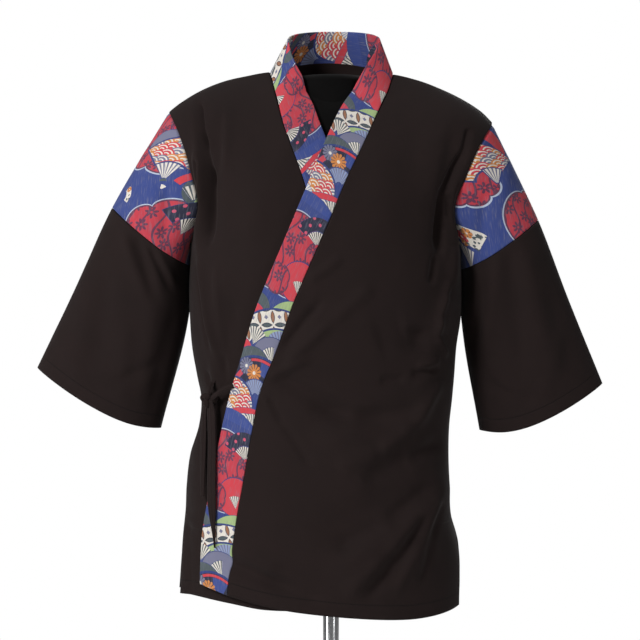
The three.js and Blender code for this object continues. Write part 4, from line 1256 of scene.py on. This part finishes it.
# The soft folds across and down each sleeve, in the front view.
SLEEVE_CREASES = {
    "right": [
        Crease(-247, 1006, -222, 948, 4, -4.5),
        Crease(-238, 1006, -213, 952, 5, 2.5),
        Crease(-286, 1030, -254, 940, 9, 4.5),
        Crease(-268, 1022, -240, 930, 8, -3.9),
        Crease(-330, 985, -350, 850, 16, 3.6),
        Crease(-310, 985, -322, 840, 16, -3.3),
        Crease(-236, 985, -262, 800, 14, 3.9),
        Crease(-216, 920, -246, 780, 10, -3.0),
        Crease(-280, 900, -290, 790, 13, 2.7),
        Crease(-238, 850, -300, 818, 9, -3.0),
        Crease(-380, 900, -340, 815, 12, 2.7),
        Crease(-262, 1150, -240, 1060, 12, 2.4),
        Crease(-222, 1090, -228, 1010, 8, -3.3),
    ],
    "left": [
        Crease(228, 1000, 214, 860, 11, 3.9),
        Crease(206, 960, 196, 860, 8, -3.6),
        Crease(262, 1010, 300, 850, 16, 3.6),
        Crease(246, 1000, 262, 830, 14, -3.6),
        Crease(300, 950, 340, 830, 14, -3.0),
        Crease(210, 850, 262, 800, 10, 3.3),
        Crease(216, 820, 280, 790, 8, -3.0),
        Crease(320, 900, 290, 800, 12, 2.4),
        Crease(250, 1140, 228, 1050, 12, 2.4),
        Crease(208, 1080, 204, 1000, 8, -3.3),
    ],
}


def sleeve_point(side, along, angle):
    """A point of a sleeve. Along is 0 at the armhole, 1 at the printed band's seam and 3 at the cuff."""
    points = [armhole_point(side, angle)]
    c = math.copysign(abs(math.cos(angle)) ** SQUARE_SLEEVE, math.cos(angle))
    n = math.copysign(abs(math.sin(angle)) ** SQUARE_SLEEVE, math.sin(angle))
    for s in SLEEVES[side]:
        hang = s.low * n * abs(n) ** 1.4 * (1 - 0.35 * c)
        x = (s.out_x + s.in_x) / 2 + (s.out_x - s.in_x) / 2 * c
        z = (s.out_z + s.in_z) / 2 + (s.out_z - s.in_z) / 2 * c - hang
        points.append(Vector((x, s.y - (s.front if n > 0 else s.back) * n, z)))
    return curve_point(points, along / 3)


def clear_of_body(side, p, along):
    """The point moved out, if it must be, to hang clear of the body's side."""
    rear = p.y > 0
    drop = clamp(NECK_Z - p.z, 0, HEM_DROP)
    end_x, scale = row_end(side, round(drop * 2) / 2, "back", rear, 0)
    depth = read(BODY, "drop", drop, "back" if rear else "front") * depth_share(end_x, drop)
    turn = math.acos(clamp(abs(p.y) / depth, 0, 1) ** (1 / ROUNDNESS))
    clear = SLEEVE_CLEAR * max(ease(0, 0.5, along), 1 - ease(1080, 1140, p.z))
    reach = min(scale * math.sin(turn) ** ROUNDNESS, abs(end_x)) + clear
    sign = ARMHOLE[side].sign
    return Vector((sign * max(sign * p.x + SEAM_GAP, reach), p.y, p.z))


def sleeve_at(side, along, angle):
    """A point of a sleeve with its folds, kept clear of the body."""
    p = sleeve_point(side, along, angle)
    middle = sleeve_point(side, along, 0).lerp(sleeve_point(side, along, math.pi), 0.5)
    out = Vector((p.x - middle.x, p.y - middle.y, p.z - middle.z)).normalized()
    shift, seed = (0, FRONT_SEED) if p.y < 0 else (REAR_SHIFT, REAR_SEED)
    folds = crease_height(SLEEVE_CREASES[side], p.x + shift, p.z)
    lift = folds + SLEEVE_LIMPNESS * limpness(p.x, p.z, seed)
    share = ease(0, 0.5, abs(math.sin(angle))) * ease(0, 0.35, along)
    p = p + out * lift * share
    # The rear of the underarm swings in behind the body's side.
    behind, below = max(0, -math.sin(angle)), max(0, -math.cos(angle))
    tuck = REAR_TUCK * behind * below * ease(0, 0.5, along) * (1 - ease(1.3, 2.2, along))
    p.x -= ARMHOLE[side].sign * tuck
    return clear_of_body(side, p, along) if along > 0 else p


def sleeve_turn(side, across):
    """The angle round a sleeve, so that the cloth faces outwards on both sides."""
    return 2 * math.pi * (across if side == "right" else 1 - across)


def sleeve_cut(side, along, angle):
    """The flat pattern's place, in metres: the front view unrolled about the middle of each ring."""
    top, bottom = sleeve_point(side, along, 0), sleeve_point(side, along, math.pi)
    unrolled = math.pi / 2 - angle if angle <= math.pi else angle - 3 * math.pi / 2
    x = (top.x + bottom.x) / 2 + (top.x - bottom.x) / 2 * unrolled
    z = (top.z + bottom.z) / 2 + (top.z - bottom.z) / 2 * unrolled
    return x * MM, z * MM


RIGHT_SLEEVE_PRINT = [
    Motif("patch", -234, 1166, 10, 0, 57, 8, "red", 2.2),
    Motif("patch", -232, 1012, 6, 0, 62, 8, "red", 1.6),
    Motif("leaf", -206, 1178, 0, 0, 20, 180, "red", 0.6),
    Motif("leaf", -238, 1160, 0, 0, 20, 180, "grey", 0.8),
    Motif("leaf", -199, 1082, 0, 0, 20, 180, "slate", 0.6),
    Motif("leaf", -190, 1062, 0, 0, 18, 180, "leaf", 0.6),
    Motif("leaf", -188, 1050, 0, 0, 17, 180, "grey", 0.6),
    Motif("leaf", -238, 1099, 36, 28, 62, 56, "waves", 2.6),
    Motif("leaf", -206, 1078, 4, 20, 29, 50, "red", 0.6),
    Motif("ribs", -206, 1063, 10, 8, 28, 36, "cream slate", 0.4),
    Motif("ribs", -238, 1099, 12, 4, 26, 32, "cream grey", 0.6),
    Motif("leaf", -238, 1098, 0, 0, 4, 90, "slate", 0),
    Motif("leaf", -241, 1086, 34, 2, 8, 24, "cream", 0),
    Motif("leaf", -300, 1086, 90, 12, 21, 40, "leaves", 0.4),
    Motif("flower", -284, 1094, 0, 0, 4.5, 5, "orange", 0),
    Motif("leaf", -213, 1025, 20, 22, 42, 54, "dots", 0.6),
    Motif("ribs", -213, 1025, 30, 0, 21, 44, "cream black", 0.4),
]
LEFT_SLEEVE_PRINT = [
    Motif("leaf", 226, 1162, 0, 0, 25, 180, "red", 0.6),
    Motif("leaf", 218, 1138, 0, 0, 24, 180, "deep", 0),
    Motif("patch", 202, 1098, 18, 0, 37, 8, "red", 2.4),
    Motif("patch", 302, 1046, 12, 0, 64, 4, "red", 1.6),
    Motif("leaf", 189, 1118, 0, 0, 16, 180, "grey", 0.6),
    Motif("ribs", 204, 1096, -30, 4, 20, 34, "cream slate", 0.4),
    Motif("leaf", 233, 1097, -32, 21, 56, 58, "waves", 2.4),
    Motif("ribs", 236, 1094, -14, 3, 25, 26, "cream grey", 1.4),
    Motif("leaf", 187, 976, 0, 33, 59, 33, "leaves", 0.8),
    Motif("flower", 176, 1024, 0, 0, 8, 6, "red", 0),
    Motif("flower", 188, 1017, 20, 0, 8, 6, "red", 0),
    Motif("flower", 197, 1026, 0, 0, 7, 6, "orange", 0),
    Motif("flower", 188, 1009, 0, 0, 4.5, 5, "orange", 0),
    Motif("ribs", 187, 976, -6, 0, 27, 29, "cream grey", 0.5),
]
SLEEVE_INK = {"right": RIGHT_SLEEVE_PRINT, "left": LEFT_SLEEVE_PRINT}


def sleeve_tube(side, part, start, end, rings, finish, hemmed):
    """One part of a sleeve, from one place along it to another.
    A hemmed part is turned up inside at its cuff."""

    def place(across, down):
        if down == 0 and not hemmed:
            return armhole_point(side, sleeve_turn(side, across), SEAM_TUCK)
        return sleeve_at(side, lerp(start, end, down), sleeve_turn(side, across))

    def cut(across, down):
        return sleeve_cut(side, lerp(start, end, down), sleeve_turn(side, across))

    def to_cuff(across, down):
        angle = sleeve_turn(side, across)
        return (sleeve_point(side, 3, angle) - sleeve_point(side, lerp(start, end, down), angle)).length

    name = f"{side}_sleeve_{part}"
    to_hem = to_cuff if hemmed else None
    piece = cloth(name, SLEEVE_COLUMNS, rings, place, cut, finish, TWILL, HEM_TWILL, to_hem, tube=True)
    if not hemmed:
        piece.modifiers["cloth"].thickness = TWILL * MM
    return piece


for side in ("right", "left"):
    sleeve_cotton = printed_finish(f"printed {side} sleeve", SLEEVE_INK[side])
    upper = sleeve_tube(side, "band", 0.012, 0.996, 44, sleeve_cotton, False)
    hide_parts(f"sleeve_{side}_upper")

# The lower sleeves.
# Each is a straight tube of black twill that ends above the elbow, with its hem turned up and stitched.
for side in ("right", "left"):
    lower = sleeve_tube(side, "cuff", 1.005, 3, 84, black_twill, True)
    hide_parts(f"sleeve_{side}_lower")

# The ties.
# Two narrow strips of folded twill: one is sewn to the band's edge and one to the right side.
# They are knotted at the wearer's right hip, and both tails hang down from the knot.
KNOT_X, KNOT_Z, KNOT_PROUD = -160, 799, 8
Tie = namedtuple("Tie", "points top wide tip pleat length")
TIES = {
    "tie_front_strand": Tie(
        [(-131, 818, 2.0), (-140, 815.5, 4.4), (-149, 809, 7), (-157, 801, 8)], 6, 6.5, 1, 0, 0.045,
    ),
    "tie_side_strand": Tie(
        [(-163, 824, -3.0), (-162.5, 818, 0.5), (-161.5, 810, 4.6), (-160, 801, 8)], 10, 7, 1, 0.8, 0.042,
    ),
    "tie_front_tail": Tie(
        [(-158, 797, 9), (-158, 780, 7.6), (-158, 740, 6.4), (-158, 664, 6.2), (-153, 601, 6.2)],
        11, 15, 0.16, 0.3, 0.196,
    ),
    "tie_side_tail": Tie(
        [(-165, 797, 6.6), (-169.5, 780, 4.8), (-172.5, 740, 3.2), (-173, 668, 3.0)], 9, 12, 0.7, 0.3, 0.13,
    ),
}
TIE_STEPS = 72
TIE_WALL = 1.5


def face_at(x, z):
    """The torso's cloth at a place in the front view, and the way it faces."""
    level_way = front_at(x + 2, z, "under") - front_at(x - 2, z, "under")
    up_way = front_at(x, z + 5, "under") - front_at(x, z - 5, "under")
    return front_at(x, z, "under"), level_way.cross(up_way).normalized()


def tie_strip(name, tie):
    """A strip along its points, which are given as across, height and how far it stands off the torso."""
    line = [Vector(p) for p in tie.points]
    places = []
    for i in range(TIE_STEPS + 1):
        x, z, off = curve_point(line, i / TIE_STEPS)
        base, way = face_at(x, z)
        places.append((base + way * off, way))

    def place(across, down):
        i = round(down * TIE_STEPS)
        p, way = places[i]
        run = (places[min(i + 1, TIE_STEPS)][0] - places[max(i - 1, 0)][0]).normalized()
        side = run.cross(way).normalized()
        half = lerp(tie.top, tie.wide, ease(0, 0.25, down)) / 2 * lerp(1, tie.tip, ease(0.72, 1, down))
        s = 2 * across - 1
        roll = 0.6 * math.sin(down * 9 + tie.wide) * s + 0.5 * math.cos(s * math.pi)
        pleats = tie.pleat * math.cos(3 * math.pi * s) * ease(0, 0.2, down)
        return p - side * s * half + way * (0.8 + roll + pleats)

    def cut(across, down):
        return across * tie.wide * MM, down * tie.length

    return cloth(name, 18, TIE_STEPS, place, cut, black_twill, TIE_WALL)


tie_pieces = {}
for name, tie in TIES.items():
    strip = tie_strip(name + "_cloth", tie)
    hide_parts(name)
    max(tie.wide, tie.top, 10) * MM
    tie_pieces[name] = strip

KNOT_REACH, KNOT_DEEP, KNOT_STRAND = 2.9, 2.7, (4.3, 2.7)
KNOT_FLAT = (0.024, 0.12)


def knot_line(share):
    """The path of the tie through its knot, which closes on itself inside."""
    t = 2 * math.pi * share
    x = math.sin(t) + 2 * math.sin(2 * t)
    z = math.cos(t) - 2 * math.cos(2 * t)
    return Vector((KNOT_REACH * x, -KNOT_DEEP * math.sin(3 * t), 0.86 * KNOT_REACH * z))


knot_base, knot_way = face_at(KNOT_X, KNOT_Z)
knot_centre = knot_base + knot_way * KNOT_PROUD
knot_mesh = bmesh.new()
knot_flat = knot_mesh.loops.layers.uv.new("cut")
bmesh.ops.create_grid(knot_mesh, x_segments=14, y_segments=150, size=0.5)
for face in knot_mesh.faces:
    for loop in face.loops:
        loop[knot_flat].uv = ((loop.vert.co.x + 0.5) * KNOT_FLAT[0], (loop.vert.co.y + 0.5) * KNOT_FLAT[1])
for vert in knot_mesh.verts:
    around, share = 2 * math.pi * (vert.co.x + 0.5), vert.co.y + 0.5
    p = knot_line(share)
    run = (knot_line(share + 0.004) - knot_line(share - 0.004)).normalized()
    side = run.cross(Vector((0, 1, 0))).normalized()
    flat_wide, flat_thick = KNOT_STRAND
    crumple = 1 + 0.16 * noise.noise(p * 0.3)
    ring = side * math.cos(around) * flat_wide + side.cross(run) * math.sin(around) * flat_thick
    vert.co = (knot_centre + p + ring * crumple) * MM
bmesh.ops.remove_doubles(knot_mesh, verts=knot_mesh.verts, dist=1e-6)
bmesh.ops.recalc_face_normals(knot_mesh, faces=knot_mesh.faces)
knot = finish_mesh("tie_knot_cloth", knot_mesh, black_twill)
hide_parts("tie_knot")

# The bar tacks.
# Short rows of close stitches in black thread, at the tops of both side vents and over the tie's sewn end.
STITCH_HALF = (0.42, 0.34)
# Each stitch takes up this part of its own share of the row.
STITCH_ENDS = (0.08, 0.92)
black_thread, tree, shader = cloth_finish("black thread", 0.1)
thread_place = tree.nodes.new("ShaderNodeTexCoord").outputs["Object"]
thread_mottle = noise_value(tree, thread_place, 900.0, 2)
link(tree, colour_mix(tree, thread_mottle, linear("0c0a0a"), linear("2b2423")), shader.inputs["Base Color"])
shader.inputs["Roughness"].default_value = 0.6
link(tree, bumped(tree, thread_mottle, 0.0001, 0.5), shader.inputs["Normal"])


def sew(mesh, piece, start, end, count):
    """Adds a row of stitches to a mesh, on the front of a piece, between two places in the front view."""
    corners = [v.co for v in piece.data.vertices]
    surface = BVHTree.FromPolygons(corners, [p.vertices for p in piece.data.polygons])
    for i in range(count):
        shares = [(i + stitch_end) / count for stitch_end in STITCH_ENDS]
        spots = [(lerp(start[0], end[0], t), lerp(start[1], end[1], t)) for t in shares]
        hits = [surface.ray_cast(Vector((x * MM, -1, z * MM)), Vector((0, 1, 0))) for x, z in spots]
        run = hits[1][0] - hits[0][0]
        way = hits[0][1] if hits[0][1].y < 0 else -hits[0][1]
        side = way.cross(run).normalized()
        turn = Matrix((run.normalized(), side, way)).transposed().to_4x4()
        size = Matrix.Diagonal((run.length / 2, STITCH_HALF[0] * MM, STITCH_HALF[1] * MM, 1))
        middle = Matrix.Translation((hits[0][0] + hits[1][0]) / 2)
        bmesh.ops.create_uvsphere(mesh, u_segments=8, v_segments=5, radius=1, matrix=middle @ turn @ size)


tacks_mesh = bmesh.new()
sew(tacks_mesh, under_front, (-198, 627), (-174, 619), 9)
sew(tacks_mesh, over_front, (150, 631), (164, 631), 6)
sew(tacks_mesh, collar_band, (-131, 815), (-131, 821), 3)
bar_tacks = finish_mesh("bar_tacks", tacks_mesh, black_thread)

# The dress form.
# A padded torso without limbs, covered in black jersey, which carries the jacket at its shoulders.
# It is closed at the neck, the arms and the foot, and stands clear of the cloth below the shoulders.
FORM_TOP_DROP = 4
FORM_FOOT_DROP = 640
# How far it is inside the cloth's levels at its top and from FORM_CLEAR_DROP down.
FORM_INSET = (3.9, 21.0)
FORM_CLEAR_DROP = 130
form_jersey, tree, shader = cloth_finish("black jersey", 0.08)
jersey_place = tree.nodes.new("ShaderNodeTexCoord").outputs["Object"]
jersey_stripes = tree.nodes.new("ShaderNodeTexWave")
jersey_stripes.inputs["Scale"].default_value = 420
jersey_stripes.inputs["Distortion"].default_value = 1.2
link(tree, jersey_place, jersey_stripes.inputs["Vector"])
jersey_mottle = noise_value(tree, jersey_place, 40.0, 3)
link(tree, colour_mix(tree, jersey_mottle, linear("020202"), linear("050404")), shader.inputs["Base Color"])
shader.inputs["Roughness"].default_value = 0.95
link(tree, bumped(tree, jersey_stripes.outputs["Fac"], 0.0002, 0.4), shader.inputs["Normal"])


def form_at(across, down):
    """A point of the form's side: across goes once round, and down goes from the shoulders to the foot."""
    drop = FORM_TOP_DROP + (FORM_FOOT_DROP - FORM_TOP_DROP) * down**1.7
    inset = lerp(*FORM_INSET, ease(0, FORM_CLEAR_DROP, drop))
    rear = across > 0.5
    level = Level(drop, "back", rear, inset)
    right, left = level.turn(level.end["right"][0]), level.turn(level.end["left"][0])
    p = level.point(lerp(left, right, 2 * across - 1) if rear else lerp(right, left, 2 * across))
    return p if down < 1 else Vector((p.x, p.y, NECK_Z - FORM_FOOT_DROP))


form_mesh = bmesh.new()
bmesh.ops.create_grid(form_mesh, x_segments=96, y_segments=90, size=0.5)
for vert in form_mesh.verts:
    vert.co = form_at(vert.co.x + 0.5, 0.5 - vert.co.y) * MM
bmesh.ops.remove_doubles(form_mesh, verts=form_mesh.verts, dist=1e-5)
bmesh.ops.holes_fill(form_mesh, edges=form_mesh.edges, sides=0)
bmesh.ops.recalc_face_normals(form_mesh, faces=form_mesh.faces)
form = finish_mesh("torso_form", form_mesh, form_jersey)
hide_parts("dress_form")

# The form's neck.
# A short padded column with a rounded top, hidden by the collar except from above.
FORM_NECK_R = 56
FORM_NECK_FOOT = (0, 0.012, 1.128)
# Each step up: its rise in metres, and the share of the ring below that it keeps.
FORM_NECK_STEPS = ((0.07, 0.97), (0.04, 0.965), (0.006, 0.98), (0.003, 0.95))
neck_mesh = bmesh.new()
bmesh.ops.create_circle(neck_mesh, cap_ends=True, segments=64, radius=FORM_NECK_R * MM)
ring_face = neck_mesh.faces[:]
for rise, size in FORM_NECK_STEPS:
    ring_face = bmesh.ops.extrude_face_region(neck_mesh, geom=ring_face)["geom"]
    ring_verts = [v for v in ring_face if isinstance(v, bmesh.types.BMVert)]
    ring_face = [f for f in ring_face if isinstance(f, bmesh.types.BMFace)]
    bmesh.ops.translate(neck_mesh, verts=ring_verts, vec=(0, 0, rise))
    bmesh.ops.scale(neck_mesh, verts=ring_verts, vec=(size, size, 1))
bmesh.ops.scale(neck_mesh, verts=neck_mesh.verts, vec=(1, 0.95, 1))
bmesh.ops.translate(neck_mesh, verts=neck_mesh.verts, vec=FORM_NECK_FOOT)
bmesh.ops.recalc_face_normals(neck_mesh, faces=neck_mesh.faces)
neck = finish_mesh("form_neck", neck_mesh, form_jersey)

# The stand.
# A chromed steel pole goes up into the form and stands in the collar of a heavy spun base with a rolled edge.
chrome = bpy.data.materials.new("polished chrome")
chrome.use_nodes = True
tree = chrome.node_tree
shader = tree.nodes["Principled BSDF"]
shader.inputs["Metallic"].default_value = 1
chrome_place = tree.nodes.new("ShaderNodeTexCoord").outputs["Object"]
brush = noise_value(tree, vector_calc(tree, "MULTIPLY", chrome_place, (900.0, 900.0, 12.0)), 1.0, 2)
smears = noise_value(tree, chrome_place, 18.0, 4)
link(tree, colour_mix(tree, smears, linear("e2e4e7"), linear("f6f7f8")), shader.inputs["Base Color"])
polish = tree.nodes.new("ShaderNodeMapRange")
polish.inputs["To Min"].default_value = 0.07
polish.inputs["To Max"].default_value = 0.2
link(tree, calc(tree, "MULTIPLY", brush, smears), polish.inputs["Value"])
link(tree, polish.outputs[0], shader.inputs["Roughness"])


def spun(name, profile, replaced):
    """A turned metal piece: a line of radius and height, spun once round."""
    mesh = bmesh.new()
    verts = [mesh.verts.new((r * MM, 0, z * MM)) for r, z in profile]
    edges = [mesh.edges.new(pair) for pair in zip(verts, verts[1:])]
    bmesh.ops.spin(
        mesh, geom=verts + edges, cent=(0, 0, 0), axis=(0, 0, 1), angle=2 * math.pi, steps=96, use_merge=True,
    )
    bmesh.ops.remove_doubles(mesh, verts=mesh.verts, dist=1e-6)
    bmesh.ops.recalc_face_normals(mesh, faces=mesh.faces)
    piece = finish_mesh(name, mesh, chrome)
    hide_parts(replaced)
    return piece


pole = spun(
    "chrome_pole",
    [(0, 40.35), (10.4, 40.35), (11, 41), (11, 300), (11, 613), (10.4, 613.65), (0, 613.65)],
    "pole",
)
base = spun(
    "spun_base",
    [(0, 0), (171, 0), (174, 0.8), (175, 3), (174.6, 5.4), (172.6, 7.6), (170, 8.2), (130, 10), (90, 12),
     (56, 14), (32, 15.8), (26, 17.2), (22.6, 20), (21, 24), (20, 30), (20, 38.6), (19.4, 39.7), (18, 40),
     (0, 40)],
    "base_plate",
)
for round_piece in (pole, base):
    corners = round_piece.modifiers.new("even shading", "WEIGHTED_NORMAL")
    corners.keep_sharp = False

# The upper and lower sleeve pieces of each side, looked up by name.
for side in ("right", "left"):
    upper = bpy.data.objects[f"{side}_sleeve_band"]
    lower = bpy.data.objects[f"{side}_sleeve_cuff"]
